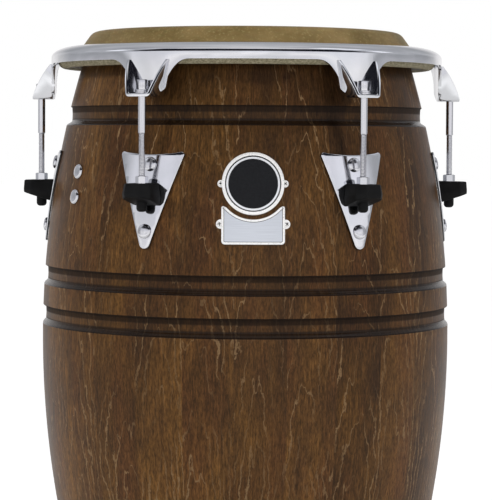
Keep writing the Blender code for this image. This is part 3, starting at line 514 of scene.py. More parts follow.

# %% [markdown]
# ## Rawhide
#
# The head is cow hide, stretched wet and dried. It is tan with an olive cast, cloudy, and speckled with
# pale fibres that catch the light. A little light passes through it, which softens its shading. Where
# it is tucked round under the hoop its rough, fuzzy flesh side shows, painted much paler than the hide:
# partly its own tone and partly painted light where the rim shades it.

# %% Rawhide
rawhide, place, shader = new_finish("rawhide")
clouds = noise(place, (16.0, 16.0, 30.0), 4.0, 0.6)
specks = noise(place, 420.0, 3.0, 0.6)
veins = noise(place, (60.0, 60.0, 90.0), 5.0, 0.7)
hide = mixed(ranged(clouds, 0.35, 0.68), (0.132, 0.089, 0.025), (0.262, 0.180, 0.072))
hide = mixed(ranged(specks, 0.54, 0.72, 0.0, 0.6), hide, (0.34, 0.27, 0.12))
hide = mixed(ranged(veins, 0.30, 0.44, 0.35, 0.0), hide, (0.15, 0.105, 0.045))
connect(shader, {"Base Color": hide, "Roughness": 0.52, "Specular IOR Level": 0.25,
                 "Subsurface Weight": 0.12, "Subsurface Scale": 3 * MM})
raised(shader, specks, 0.12 * MM)

# The tuck under the hoop is painted pale: partly the flesh side's own tone, partly painted light in the rim's
# shade.
rough_hide_painted_light, place, shader = new_finish("rough_hide_painted_light")
fuzz = noise(place, (380.0, 380.0, 700.0), 3.0, 0.7)
tone = mixed(ranged(fuzz, 0.36, 0.64), (0.21, 0.185, 0.105), (0.52, 0.46, 0.31))
connect(shader, {"Base Color": tone, "Roughness": 0.8})
raised(shader, fuzz, 0.25 * MM)

# %% [markdown]
# ## Metal, rubber and enamel
#
# Polished chrome over steel is almost a mirror, with the faint unevenness of a pressed and buffed part.
# Slow noise in the surface bends its reflections a little, and fine noise in its roughness keeps the
# highlights from looking computed. The other finishes need one fine noise each, for tone and gloss: the
# rods' duller chrome, zinc on the strips and nuts inside the shell, the side plates' sides painted dark
# as painted shade and painted reflection of the wood, the silver of the badge's rim and of the screws,
# the sideways brushing of the name plate, and the enamel and silver print on the badge. Moulded rubber
# is nearly black and matt.

# %% Metal, rubber and enamel
chrome, place, shader = new_finish("polished_chrome")
slow = noise(place, 38.0)
tone = mixed(ranged(slow, 0.3, 0.7), (0.64, 0.65, 0.67), (0.71, 0.71, 0.735))
buffed = ranged(noise(place, 900.0), 0.3, 0.7, 0.05, 0.12)
connect(shader, {"Base Color": tone, "Roughness": buffed, "Metallic": 1.0})
raised(shader, slow, 0.18 * MM)


def fine_finish(name, cells, dark, light, roughness, metallic, detail=2.0):
    """A finish of one fine noise, with one roughness or a range of it."""
    made, place, shader = new_finish(name)
    grain = noise(place, cells, detail)
    if isinstance(roughness, tuple):
        roughness = ranged(grain, 0.3, 0.7, *roughness)
    tone = mixed(ranged(grain, 0.3, 0.7), dark, light)
    connect(shader, {"Base Color": tone, "Roughness": roughness, "Metallic": metallic})
    return made, shader, grain


rod_chrome, *_ = fine_finish(
    "rod_chrome", (2400.0, 2400.0, 30.0), (0.58, 0.58, 0.605), (0.70, 0.70, 0.725), (0.12, 0.24), 1.0)
zinc_steel, *_ = fine_finish(
    "zinc_steel", 260.0, (0.50, 0.50, 0.49), (0.66, 0.66, 0.64), (0.30, 0.46), 1.0, 3.0)
dark_edge_painted_shade, *_ = fine_finish(
    "dark_edge_painted_shade", 500.0, (0.030, 0.030, 0.032), (0.075, 0.074, 0.075), (0.40, 0.55), 1.0)
satin_silver, *_ = fine_finish(
    "satin_silver", 700.0, (0.86, 0.85, 0.84), (0.93, 0.92, 0.90), (0.26, 0.36), 0.35)
brushed_plate, *_ = fine_finish(
    "brushed_plate", (40.0, 40.0, 3800.0), (0.59, 0.615, 0.66), (0.70, 0.73, 0.775), (0.28, 0.42), 0.75)
silver_print, *_ = fine_finish(
    "silver_print", 1800.0, (0.74, 0.75, 0.78), (0.82, 0.83, 0.85), 0.35, 0.35)
enamel, shader, peel = fine_finish(
    "black_enamel", 600.0, (0.0070, 0.0075, 0.0085), (0.011, 0.0115, 0.013), 0.22, 0.0)
connect(shader, {"Specular IOR Level": 0.12})
raised(shader, peel, 0.03 * MM)

rubber, place, shader = new_finish("moulded_rubber")
bloom = noise(place, 70.0, 3.0)
tone = mixed(ranged(bloom, 0.35, 0.7), (0.0035, 0.0035, 0.0036), (0.0085, 0.0085, 0.0087))
matt = ranged(bloom, 0.3, 0.7, 0.48, 0.66)
connect(shader, {"Base Color": tone, "Roughness": matt, "Specular IOR Level": 0.12})
raised(shader, noise(place, 1500.0), 0.05 * MM)

# %% [markdown]
# ## Helpers for the pieces
#
# Turned pieces start as a chain of points in one upright plane, which is spun round the axis. Pressed
# pieces start as a flat outline, which is thickened, softened along its edges and bent onto the shell.
# `made_piece` finishes both: it puts the finishes on and lets the piece ride on its body, in the place
# of its solid. `at_every_lug` does so six times.

# %% Mesh helpers


def above_base(base, *points):
    """Points (radius, height) from radius and rise over a base level, both in millimetres."""
    return [(radius * MM, base + rise * MM) for radius, rise in points]


def chain(work, points, closed=False):
    """Points (radius, height) in the upright plane at the front, joined by edges."""
    corners = [work.verts.new((0.0, -radius, level)) for radius, level in points]
    pairs = list(zip(corners, corners[1:]))
    if closed:
        pairs.append((corners[-1], corners[0]))
    return corners + [work.edges.new(pair) for pair in pairs]


def spin(work, line, **settings):
    """Spins a chain round Z."""
    return bmesh.ops.spin(work, geom=line, axis=(0, 0, 1), cent=(0, 0, 0), **settings)["geom_last"]


def spun(points, steps, closed=False):
    """A turned solid from its outline; an open outline starts and ends on the axis."""
    work = bmesh.new()
    spin(work, chain(work, points, closed), angle=2 * math.pi, steps=steps, use_merge=True)
    bmesh.ops.remove_doubles(work, verts=work.verts, dist=0.001 * MM)
    bmesh.ops.recalc_face_normals(work, faces=work.faces)
    return work


def bevelled(work, edges, width, segments):
    """Rounds edges of a piece."""
    bmesh.ops.bevel(work, geom=edges, offset=width, offset_type="OFFSET", segments=segments, profile=0.5,
                    affect="EDGES", material=-1, clamp_overlap=True)


def soften(work, width, segments=2, sharper_than=40.0):
    """Rounds every edge that is sharper than an angle in degrees."""
    sharp = [edge for edge in work.edges if edge.calc_face_angle(0.0) > math.radians(sharper_than)]
    bevelled(work, sharp, width, segments)


def slab(outline, near, far):
    """A flat outline of (across, height) points made into a slab between two distances from the axis."""
    work = bmesh.new()
    face = work.faces.new([work.verts.new((across, -near, level)) for across, level in outline])
    grown = bmesh.ops.extrude_face_region(work, geom=[face])["geom"]
    moved = [item for item in grown if isinstance(item, bmesh.types.BMVert)]
    bmesh.ops.translate(work, vec=(0, near - far, 0), verts=moved)
    bmesh.ops.recalc_face_normals(work, faces=work.faces)
    return work


def everything(work):
    """All geometry of a bmesh."""
    return [*work.verts, *work.edges, *work.faces]


def sliced(work, step):
    """Cuts a flat piece into narrow cells, so that it can bend."""
    lows = [min(point.co[axis] for point in work.verts) for axis in range(3)]
    highs = [max(point.co[axis] for point in work.verts) for axis in range(3)]
    for axis in (0, 2):
        normal = Vector((axis == 0, 0, axis == 2))
        cuts = int((highs[axis] - lows[axis]) / step)
        for cut in range(1, cuts + 1):
            where = normal * (lows[axis] + (highs[axis] - lows[axis]) * cut / (cuts + 1))
            bmesh.ops.bisect_plane(work, geom=everything(work), plane_co=where, plane_no=normal,
                                   dist=0.02 * MM)


def bent_on_shell(work):
    """Bends a flat piece onto the shell: its distance from the axis becomes its lift off the wood."""
    for point in work.verts:
        across, depth, level = point.co
        lean = shell_lean(level)
        radius = shell_radius(level) - depth * math.cos(lean)
        turned = across / shell_radius(level)
        point.co = (radius * math.sin(turned), -radius * math.cos(turned), level - depth * math.sin(lean))


def to_mesh(work, name, sharper_than=38.0):
    """A smooth-shaded mesh that keeps its real edges."""
    mesh = bpy.data.meshes.new(name)
    work.to_mesh(mesh)
    work.free()
    mesh.shade_smooth()
    mesh.set_sharp_from_angle(angle=math.radians(sharper_than))
    return mesh


def made_piece(name, mesh, finishes, body, replaced, place=None):
    """A named piece that rides on a body and stands for solids of the frame."""
    if place is not None:
        mesh.transform(place)
    for paint in finishes:
        mesh.materials.append(paint)
    piece = bpy.data.objects.new(name, mesh)
    scene.collection.objects.link(piece)
    if body:
        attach(piece, body)
    if replaced:
        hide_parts(*replaced)
    return piece


def at_every_lug(name, mesh, finishes, body, node, out=0.0):
    """Six copies of a piece, one for each lug, whose number goes into the names."""
    for number, angle in enumerate(lug_angles, start=1):
        place = Matrix.Rotation(angle, 4, "Z") @ Matrix.Translation((0.0, -out, 0.0))
        names = [text.format(number) for text in (name, body, node)]
        made_piece(names[0], mesh.copy(), finishes, names[1], [names[2]], place)
    print(name.format("N") + ":", len(mesh.polygons), "faces")


def cut_by(mesh, cutter, operation="DIFFERENCE"):
    """A mesh with a bmesh cut from it or joined to it."""
    target = bpy.data.objects.new("blank", mesh)
    tool = bpy.data.objects.new("cutter", to_mesh(cutter, "cutter"))
    for item in (target, tool):
        scene.collection.objects.link(item)
    step = target.modifiers.new("cut", "BOOLEAN")
    step.operation = operation
    step.object = tool
    step.solver = "EXACT"
    seen = target.evaluated_get(bpy.context.evaluated_depsgraph_get())
    result = bpy.data.meshes.new_from_object(seen)
    for item in (target, tool):
        bpy.data.objects.remove(item)
    result.shade_smooth()
    result.set_sharp_from_angle(angle=math.radians(38))
    return result


def upright_bar(radius, low, high, sides=48, out=0.0):
    """An upright bar between two heights, in front of the axis by a distance."""
    work = bmesh.new()
    bmesh.ops.create_cone(work, cap_ends=True, segments=sides, radius1=radius, radius2=radius,
                          depth=high - low, matrix=Matrix.Translation((0, -out, (low + high) / 2)))
    return work


def hexagon_corner(flats):
    """Distance from a hexagon's middle to its corners, from the width over its flats."""
    return flats / 2 / math.cos(math.pi / 6)


def arc(centre, radius, start, end, steps):
    """Points of an arc in the (radius, height) plane, from one angle to another."""
    turns = [start + (end - start) * step / steps for step in range(steps + 1)]
    return [(centre[0] + radius * math.cos(turn), centre[1] + radius * math.sin(turn)) for turn in turns]


def rounded(corner, before, after, radius, steps=5):
    """Points of the arc that rounds a corner of an outline."""
    corner = Vector(corner)
    back = (Vector(before) - corner).normalized()
    ahead = (Vector(after) - corner).normalized()
    half = back.angle(ahead) / 2
    centre = corner + (back + ahead).normalized() * radius / math.sin(half)
    start = corner + back * radius / math.tan(half) - centre
    sweep = (math.pi - 2 * half) * (1 if back.cross(ahead) < 0 else -1)
    return [tuple(centre + Matrix.Rotation(sweep * step / steps, 2) @ start) for step in range(steps + 1)]


def other_side(points):
    """The same points on the other side, in reverse, to close an outline."""
    return [(-across, level) for across, level in reversed(points)]


# %% [markdown]
# ## Shell
#
# On the real drum this is a barrel of glued staves, turned smooth on a lathe and then grooved. A spun
# outline is exactly that: the bow of the stave, the grooves, the rounded bearing edge, and the hollow
# inside. Each groove has a rounded lower lip that slopes in, a floor cut parallel to the axis with a
# slight hollow, and a sharp upper lip. Many short steps keep the shell round.

# %% Shell
shell_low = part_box("shell")[0].z
inner_chamfer = 2.6 * MM
floor_shares = (0.0, 0.12, 0.3, 0.5, 0.7, 0.88, 1.0)
lip_shape = [(-0.4, -0.02), (0.3, 0.03), (0.8, 0.12), (1.3, 0.26), (2.0, 0.5), (3.3, 0.88)]  # mm up, share in


def groove_points(top, step_in):
    """Outline of a groove, upwards."""
    low = top - groove_height
    edge = shell_radius(low)
    floor_radius = shell_radius(top) - step_in
    points = [(edge + (floor_radius - edge) * share, low + up * MM) for up, share in lip_shape]
    floor_low = low + 4.2 * MM
    floor_high = top - 0.6 * MM
    for share in floor_shares:
        hollow = math.sin(math.pi * share) * 0.35 * MM
        points.append((floor_radius - hollow, floor_low + (floor_high - floor_low) * share))
    return points + [(shell_radius(top) - 0.3 * MM, top - 0.25 * MM), (shell_radius(top), top + 0.2 * MM)]


def stave_points(low, high, step=9.0 * MM):
    """Points on the bow of the stave between two heights, ends left out."""
    count = max(1, round((high - low) / step))
    return [(shell_radius(at), at) for at in (low + (high - low) * k / count for k in range(1, count))]


outline = [(shell_radius(shell_low), shell_low)] + stave_points(shell_low, taper_start, 60 * MM)
reached = taper_start
for top, step_in in sorted(zip(groove_tops, groove_steps)):
    outline += stave_points(reached, top - groove_height) + groove_points(top, step_in)
    reached = top
outline += stave_points(reached, edge_height)
outline += arc((edge_centre, edge_height), edge_round, 0.0, math.pi / 2, 8)
inside_top = edge_height + edge_round - inner_chamfer
inner_radius = shell_radius(inside_top) - wall
outline += [(inner_radius + inner_chamfer, edge_height + edge_round), (inner_radius, inside_top)]
outline += [(radius - wall, at) for radius, at in reversed(stave_points(shell_low, inside_top, 24 * MM))]
outline += [(shell_radius(shell_low) - wall, shell_low)]
shell_mesh = to_mesh(spun(outline, 180, closed=True), "shell_turned", 30)
made_piece("shell_turned", shell_mesh, [stained_wood], "shell", ["shell"])
print("shell:", len(shell_mesh.polygons), "faces")

# %% [markdown]
# ## Head and flesh hoop
#
# The hide lies flat over the bearing edge, bends over it, runs down to the steel flesh hoop and is
# tucked round under it, where its rough side shows as a strip below the rim, painted pale: partly its
# own tone and partly painted light. When the rim is pulled down the hide stretches between the two.

# %% Head
bare = edge_round + seat_gap
wrap = hoop_half_width + seat_gap
hoop_low = height - hoop_drop
hoop_point = (hoop_radius, hoop_low)
lap_high = 4.4 * MM
worn = 2.5 * MM


def hide_face(edge_out, hoop_out, worn=0.0):
    """One face of the hide: over the edge, straight down, and round under the hoop; worn widens its bend."""
    across = hoop_radius - edge_centre + worn
    down = edge_height - hoop_low - worn
    slope = math.atan2(-down, across) - math.asin((edge_out + worn + hoop_out) / math.hypot(across, down))
    bend = (edge_centre - worn, edge_height - worn)
    over = arc(bend, edge_out + worn, math.pi / 2, slope + math.pi / 2, 12)
    under = arc(hoop_point, hoop_out, slope - math.pi / 2, 0.0, 10)
    run = [tuple(Vector(over[-1]).lerp(Vector(under[0]), share / 8)) for share in range(1, 8)]
    return over + run + under + [(hoop_radius + hoop_out, hoop_low + lap_high)]


def rough_side(face):
    """Whether a face of the hide is part of the tuck under the hoop."""
    middle = face.calc_center_median()
    return middle.z < hoop_low + lap_high + 0.2 * MM and middle.xy.length > hoop_radius - 5.0 * MM


flat = [((edge_centre - worn) * share / 12, height) for share in range(12)]
under_flat = [(edge_centre * share / 12, height - skin) for share in reversed(range(12))]
hide_line = hide_face(bare + skin, wrap, worn)
outline = flat + hide_line + list(reversed(hide_face(bare, wrap + skin))) + under_flat
work = spun(outline, 180)
for face in work.faces:
    face.material_index = int(rough_side(face))
head_mesh = to_mesh(work, "head_hide", 50)
head = made_piece("head_hide", head_mesh, [rawhide, rough_hide_painted_light], None, ["head_skin"])
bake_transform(head)

# %% Flesh hoop
hoop_top = (hoop_radius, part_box("flesh_hoop")[1].z - hoop_half_width)
outline = arc(hoop_point, hoop_half_width, -math.pi, 0.0, 8) + arc(hoop_top, hoop_half_width, 0.0, math.pi, 8)
hoop_mesh = to_mesh(spun(outline, 120, closed=True), "hoop_steel")
made_piece("hoop_steel", hoop_mesh, [zinc_steel], "rim", ["flesh_hoop"])

# %% [markdown]
# ## Crown rim
#
# The rim is one pressed sheet: a lip against the hide, a broad curve like a crown, an upright skirt,
# and six ears drawn down from the skirt with wide flares. Half an ear and the plain rim next to it are
# spun from one profile in three parts, the ear is extruded from the skirt's edge, and mirroring and
# turning then give the whole ring. Solidify adds the sheet's thickness, Bevel its rounded edge.

# %% Crown rim
sheet = 3.0 * MM
crown_top = height - 14.9 * MM
crown_fall = 10.8 * MM
skirt_bottom = height - 32.0 * MM
ear_bottom = height - 67.0 * MM
ear_half_top = math.radians(6.1)
ear_half_bottom = math.radians(5.5)
flare_angle = math.radians(6.3)
flare_height = 16.0 * MM
flare_power = 2.3
ear_round = 9.0 * MM
tiny = 0.1 * MM
lip_low = crown_top - sheet
below = min((radius, level) for radius, level in hide_line if level < lip_low)
above = max((radius, level) for radius, level in hide_line if level > lip_low)
hide_at_lip = above[0] + (below[0] - above[0]) * (above[1] - lip_low) / (above[1] - below[1])
lip_radius = hide_at_lip + 0.5 * MM
shoulder = lip_radius + 1.2 * MM

profile = [(lip_radius, crown_top)]
for step in range(15):
    turn = math.pi / 2 * (1 - step / 14)
    out = shoulder + (skirt_radius - shoulder) * math.cos(turn)
    profile.append((out, crown_top - crown_fall + crown_fall * math.sin(turn)))
profile.append((skirt_radius, skirt_bottom))

work = bmesh.new()
column = chain(work, profile)
plain_angle = math.pi / 6 - ear_half_top - flare_angle
for angle, steps in ((ear_half_top, 7), (flare_angle, 14), (plain_angle, 18)):
    column = spin(work, column, angle=angle, steps=steps)


def offset_of(point):
    """Angle of a point from the front."""
    return math.atan2(point.co.x, -point.co.y)


for point in work.verts:
    if point.co.z < skirt_bottom + tiny:
        past = max(0.0, offset_of(point) - ear_half_top) / flare_angle
        point.co.z -= flare_height * max(0.0, 1.0 - past) ** flare_power
ear_low = skirt_bottom - flare_height + tiny
edge_row = [edge for edge in work.edges if all(point.co.z < ear_low for point in edge.verts)]
round_top = ear_bottom + ear_round
rows = [((round_top + ear_low) / 2, (ear_half_top + ear_half_bottom) / 2), (round_top, ear_half_bottom)]
for share in (0.12, 0.26, 0.42, 0.58, 0.74, 0.88, 0.97):
    rows.append((ear_bottom + ear_round * (1 - share), ear_half_bottom * (1 - share**1.5) ** 0.83))
half = ear_half_top
for level, next_half in rows:
    grown = bmesh.ops.extrude_edge_only(work, edges=edge_row)["geom"]
    for point in [item for item in grown if isinstance(item, bmesh.types.BMVert)]:
        away = offset_of(point) * next_half / half
        point.co = (skirt_radius * math.sin(away), -skirt_radius * math.cos(away), level)
    edge_row = [item for item in grown if isinstance(item, bmesh.types.BMEdge)]
    edge_row = [edge for edge in edge_row if abs(edge.verts[0].co.z - edge.verts[1].co.z) < tiny / 10]
    half = next_half
bmesh.ops.mirror(work, geom=everything(work), matrix=Matrix.Identity(4), merge_dist=0.01 * MM, axis="X")
bmesh.ops.rotate(work, cent=(0, 0, 0), matrix=Matrix.Rotation(lug_angles[0], 3, "Z"), verts=work.verts)
spin(work, everything(work), angle=2 * math.pi, steps=len(lug_angles), use_duplicate=True)
bmesh.ops.remove_doubles(work, verts=work.verts, dist=0.02 * MM)
bmesh.ops.recalc_face_normals(work, faces=work.faces)
top_face = max(work.faces, key=lambda face: face.calc_center_median().z)
if top_face.normal.z < 0:
    bmesh.ops.reverse_faces(work, faces=work.faces)
open_edges = sum(edge.is_boundary for edge in work.edges)
crown_mesh = to_mesh(work, "crown_pressed", 60)
crown = made_piece("crown_pressed", crown_mesh, [chrome], "rim", ["crown_rim"])
thick = crown.modifiers.new("sheet", "SOLIDIFY")
thick.thickness = sheet
thick.offset = -1.0
thick.use_even_offset = True
rounding = crown.modifiers.new("edges", "BEVEL")
rounding.width = 0.9 * MM
rounding.segments = 3
rounding.limit_method = "ANGLE"
rounding.angle_limit = math.radians(50)
rounding.harden_normals = False
print("crown:", len(crown.data.polygons), "faces,", open_edges, "edges on its lip, skirt and ears")

# %% [markdown]
# ## Straps of the ears
#
# Each ear carries a bent strap, welded on like a stirrup. The rod's head sits in it on a bored floor.
# The front outline is thickened outwards, planes cut its side view to a gentle curve, and soft edges
# catch the light as the buffed metal does.

# %% Ear straps
strap = 3.2 * MM
strap_half_top = 22.5 * MM
strap_half_bottom = 12.2 * MM
strap_back = skirt_radius - 1.7 * MM
strap_front = skirt_radius + 18.3 * MM
strap_top = skirt_bottom - 0.5 * MM
strap_bore = 4.0 * MM
floor_high = ear_bottom + sheet

slant = (strap_half_top - strap_half_bottom) / (strap_top - ear_bottom)
thick_across = strap * math.hypot(1.0, slant)
inner_foot = (strap_half_bottom - thick_across + slant * sheet, floor_high)
inner_top = (strap_half_top - thick_across, strap_top)
outer_top = (strap_half_top, strap_top)
right = rounded((strap_half_bottom, ear_bottom), (0.0, ear_bottom), outer_top, 3.8 * MM)
right += [outer_top, inner_top]
right += rounded(inner_foot, inner_top, (0.0, floor_high), 2.2 * MM)
work = slab(right + other_side(right), strap_back, strap_front)
start = Vector((0.0, -skirt_radius - 0.6 * MM, strap_top))
end = Vector((0.0, -strap_front, floor_high - 0.4 * MM))
knee = (start + end) / 2 + Vector((0.0, -3.0 * MM, 1.6 * MM))
curve = [start * (1 - t) ** 2 + knee * 2 * t * (1 - t) + end * t**2 for t in (step / 6 for step in range(7))]
for start, end in zip(curve, curve[1:]):
    along = end - start
    outward = Vector((0.0, along.z, -along.y))
    if outward.y > 0:
        outward = -outward
    cut = bmesh.ops.bisect_plane(work, geom=everything(work), plane_co=start, plane_no=outward,
                                 clear_outer=True)
    cut_edges = [item for item in cut["geom_cut"] if isinstance(item, bmesh.types.BMEdge)]
    bmesh.ops.edgenet_fill(work, edges=cut_edges)
bmesh.ops.remove_doubles(work, verts=work.verts, dist=0.01 * MM)
bmesh.ops.recalc_face_normals(work, faces=work.faces)
soften(work, 0.55 * MM, 2, 35)
drill = upright_bar(strap_bore, ear_bottom - 10 * MM, floor_high + 3 * MM, out=rod_radius)
strap_mesh = cut_by(to_mesh(work, "ear_strap"), drill)
at_every_lug("stirrup_{}", strap_mesh, [chrome], "rim", "ear_strap_{}")

# %% [markdown]
# ## Tuning rods
#
# A rod is a long bolt: hexagon head, round flange, loose washer, plain shank and a thread that is a
# little slimmer than the shank. The thread is made as on a lathe: its small profile is spun many times
# round the axis while it climbs.

# %% Tuning rods
thread_pitch = 1.27 * MM
thread_top = height - 101.4 * MM
rod_low = height - 160.0 * MM
washer_low = ear_bottom + sheet + seat_gap
head_low = washer_low + 1.7 * MM
flange_top = head_low + 1.7 * MM
hex_top = flange_top + 9.0 * MM
hex_flats = 9.6 * MM
turn_steps = 16
core, shank, washer, flange = 2.65, 3.57, 6.6, 6.3  # radii in millimetres

outline = above_base(rod_low, (0.0, 0.0), (2.2, 0.0), (core, 0.8))
outline += above_base(thread_top, (core, 0.5), (shank, 1.4))
outline += above_base(washer_low, (shank, 0.0), (washer - 0.25, 0.0), (washer, 0.3))
outline += above_base(head_low, (washer, -0.35), (washer - 0.25, -0.05), (5.9, 0.0), (flange - 0.1, 0.2))
outline += above_base(flange_top, (flange, -0.5), (flange - 0.3, -0.1), (5.4, 0.0), (0.0, 0.0))
rod = spun(outline, 48)

cap = to_mesh(upright_bar(hexagon_corner(hex_flats), flange_top - 0.2 * MM, hex_top, 6), "cap")
outline = above_base(flange_top, (0.0, -1.0), (6.4, -1.0))
outline += above_base(hex_top, (6.4, -0.95), (4.5, 0.0), (4.1, 0.15), (0.0, 0.15))
softened = bmesh.new()
softened.from_mesh(cut_by(cap, spun(outline, 48), "INTERSECT"))
soften(softened, 0.22 * MM, 2, 50)

thread = bmesh.new()
turns = math.ceil((thread_top - rod_low) / thread_pitch) - 1
ridge = chain(thread, above_base(rod_low, (2.55, 0.6), (3.12, 1.02), (3.12, 1.20), (2.55, 1.62)))
climb = (0, 0, thread_pitch / turn_steps)
spin(thread, ridge, dvec=climb, angle=2 * math.pi * turns, steps=turn_steps * turns)
bmesh.ops.holes_fill(thread, edges=[edge for edge in thread.edges if edge.is_boundary])
bmesh.ops.recalc_face_normals(thread, faces=thread.faces)
reached = max(point.co.z for point in thread.verts)
print("thread climbs", round((reached - rod_low) / MM, 1), "mm in", turns, "turns")

rod.from_mesh(to_mesh(softened, "hex_head", 25))
rod.from_mesh(to_mesh(thread, "thread", 50))
rod_mesh = to_mesh(rod, "rod", 30)
at_every_lug("rod_{}_threaded", rod_mesh, [rod_chrome], "rod_{}", "tuning_rod_{}", rod_radius)

# %% [markdown]
# ## Side plates and their shelves
#
# A side plate is a pressed triangle with rounded corners and a slightly hollow top edge. A shelf welded
# across it takes the pull of the rod. The flat triangle is softened along its outer edge, cut into
# narrow cells and bent to the barrel, so that it lies on the wood all over. Its sides are painted dark,
# as painted shade and painted reflection of the dark wood beside them.

# %% Side plates
plate = 2.5 * MM
plate_half_top = 34.5 * MM
plate_top = height - 117.0 * MM
plate_tip = height - 207.0 * MM
plate_dip = 3.2 * MM
tip_round = 5.6 * MM
shelf_top = height - 149.4 * MM
shelf_low = shelf_top - 4.0 * MM
shelf_half = 10.0 * MM
shelf_end = rod_radius + 8.4 * MM
cell = 4.0 * MM

to_round = plate_top - plate_tip - tip_round
side_angle = math.atan2(plate_half_top, to_round)
side_angle -= math.asin(tip_round / math.hypot(plate_half_top, to_round))
apex = (0.0, plate_top - plate_half_top / math.tan(side_angle))
corner = (plate_half_top, plate_top)
dip = [(plate_half_top * share, plate_top - plate_dip * (1 - share**2)) for share in (0.75, 0.5, 0.25, 0.0)]
right = rounded(corner, apex, (0.0, plate_top - plate_dip), 3.0 * MM, 6)
tip = rounded(apex, (-plate_half_top, plate_top), corner, tip_round, 8)
work = slab(tip + right + dip + other_side(right + dip[:-1]), seat_gap, seat_gap + plate)
outer_rim = [edge for edge in work.edges if all(point.co.y < -seat_gap - plate / 2 for point in edge.verts)]
bevelled(work, outer_rim, 0.9 * MM, 3)
work.normal_update()
# The plate's sides get the dark finish: painted shade and painted reflection of the wood along them.
for face in work.faces:
    face.material_index = int(abs(face.normal.y) < 0.2)
sliced(work, cell)
bent_on_shell(work)
bmesh.ops.recalc_face_normals(work, faces=work.faces)

right = [(shelf_half, shelf_low), (shelf_half, shelf_top)]
shelf = slab(right + other_side(right), shell_radius(shelf_top) + plate / 2, shelf_end)
soften(shelf, 0.6 * MM)
joined = bmesh.new()
joined.from_mesh(to_mesh(work, "pressed_plate"))
joined.from_mesh(to_mesh(shelf, "shelf"))
plate_mesh = to_mesh(joined, "side_plate", 30)
at_every_lug("plate_{}", plate_mesh, [chrome, dark_edge_painted_shade], "shell", "side_plate_{}")

# %% [markdown]
# ## Nuts on the shelves
#
# The rod screws into a long hexagon nut that stands up through the shelf and the rubber. Only its upper
# end shows. Its corners are chamfered like those of any turned nut.

# %% Rod nuts
nut_top = shelf_top + 9.7 * MM
nut_low = shelf_top - 9.3 * MM
nut_flats = 10.4 * MM
nut_bore = 3.2  # radius in millimetres

nut_blank = to_mesh(upright_bar(hexagon_corner(nut_flats), nut_low, nut_top, 6), "nut_blank")
chamfer = above_base(nut_low, (0.0, -1.0), (8.0, -1.0))
chamfer += above_base(nut_top, (8.0, -1.8), (5.0, 0.0), (0.0, 0.0))
bore = above_base(nut_low, (0.0, -1.0), (nut_bore, -1.0))
bore += above_base(nut_top, (nut_bore, -0.7), (nut_bore + 0.7, 0.1), (0.0, 0.1))
nut_mesh = cut_by(cut_by(nut_blank, spun(chamfer, 48), "INTERSECT"), spun(bore, 32))
at_every_lug("long_nut_{}", nut_mesh, [chrome], "shell", "rod_nut_{}", rod_radius)

# %% [markdown]
# ## Rubber bumpers
#
# A moulded block of rubber covers the shelf and the nut, so that the drum can lean against a player or
# another drum. It is a blunt wedge with a chamfered nose and a round blind sleeve underneath for the
# rod's end. Three plans are bridged into a block, and bevelled edges give it its moulded softness.

# %% Bumpers
bumper_top = shelf_top + 3.4 * MM
bumper_half = 15.5 * MM
bumper_nose = rod_radius + 17.3 * MM
nose_chamfer = 7.5 * MM
waist = bumper_top - 9.0 * MM


def bumper_plan(work, half, back_level, nose_level, tuck, inset=0.0):
    """Six corners of the bumper seen from above; tuck narrows its back, and it may slope to the nose."""
    nose = bumper_nose - inset
    nose_half = 8.6 * MM * half / bumper_half
    back = shell_radius(back_level) + plate * 0.9
    right = [(nose_half, nose), (half, nose - nose_chamfer), (half - tuck, back)]
    corners = []
    for across, out in other_side(right) + right:
        share = (out - back) / (nose - back)
        corners.append(work.verts.new((across, -out, back_level + (nose_level - back_level) * share)))
    return [work.edges.new(pair) for pair in zip(corners, corners[1:] + corners[:1])]


work = bmesh.new()
plans = [
    bumper_plan(work, bumper_half - 1.0 * MM, bumper_top - 21.0 * MM, bumper_top - 12.8 * MM, 0.6 * MM),
    bumper_plan(work, bumper_half, waist - 4.6 * MM, waist, 0.9 * MM),
    bumper_plan(work, 13.4 * MM, bumper_top, bumper_top - 0.6 * MM, 2.2 * MM, 0.6 * MM)]
for lower, upper in zip(plans, plans[1:]):
    bmesh.ops.bridge_loops(work, edges=lower + upper)
for plan in (plans[0], plans[-1]):
    bmesh.ops.contextual_create(work, geom=plan)
bmesh.ops.recalc_face_normals(work, faces=work.faces)
soften(work, 1.1 * MM, 3, 12)

sleeve_low = rod_low - 12.6 * MM
sleeve_radius = 5.0 * MM
sleeve_round = 3.4 * MM
end_round = arc((sleeve_radius - sleeve_round, sleeve_low + sleeve_round), sleeve_round, -math.pi / 2, 0.0, 8)
sleeve = spun([(0.0, sleeve_low)] + end_round + [(sleeve_radius, waist), (0.0, waist)], 32)
bmesh.ops.translate(sleeve, vec=(0, -rod_radius, 0), verts=sleeve.verts)
nut_hole = upright_bar(5.95 * MM, shelf_top - MM, bumper_top + 5 * MM, out=rod_radius)
bumper_mesh = cut_by(cut_by(to_mesh(work, "bumper_block"), sleeve, "UNION"), nut_hole)
at_every_lug("bumper_{}_moulded", bumper_mesh, [rubber], "shell", "bumper_{}")

# %% [markdown]
# ## Bolts through the shell
#
# Round-headed bolts hold the plates, two each, and another pair stands alone on the left. Such a head
# is spun: a short upright rim, a steep shoulder, and a crown that is nearly flat in the middle.

# %% Bolts
bolt_reach = wall + 12.0 * MM
bolt_shank = 3.0  # radius in millimetres
side_bolt_angle = math.radians(-60)


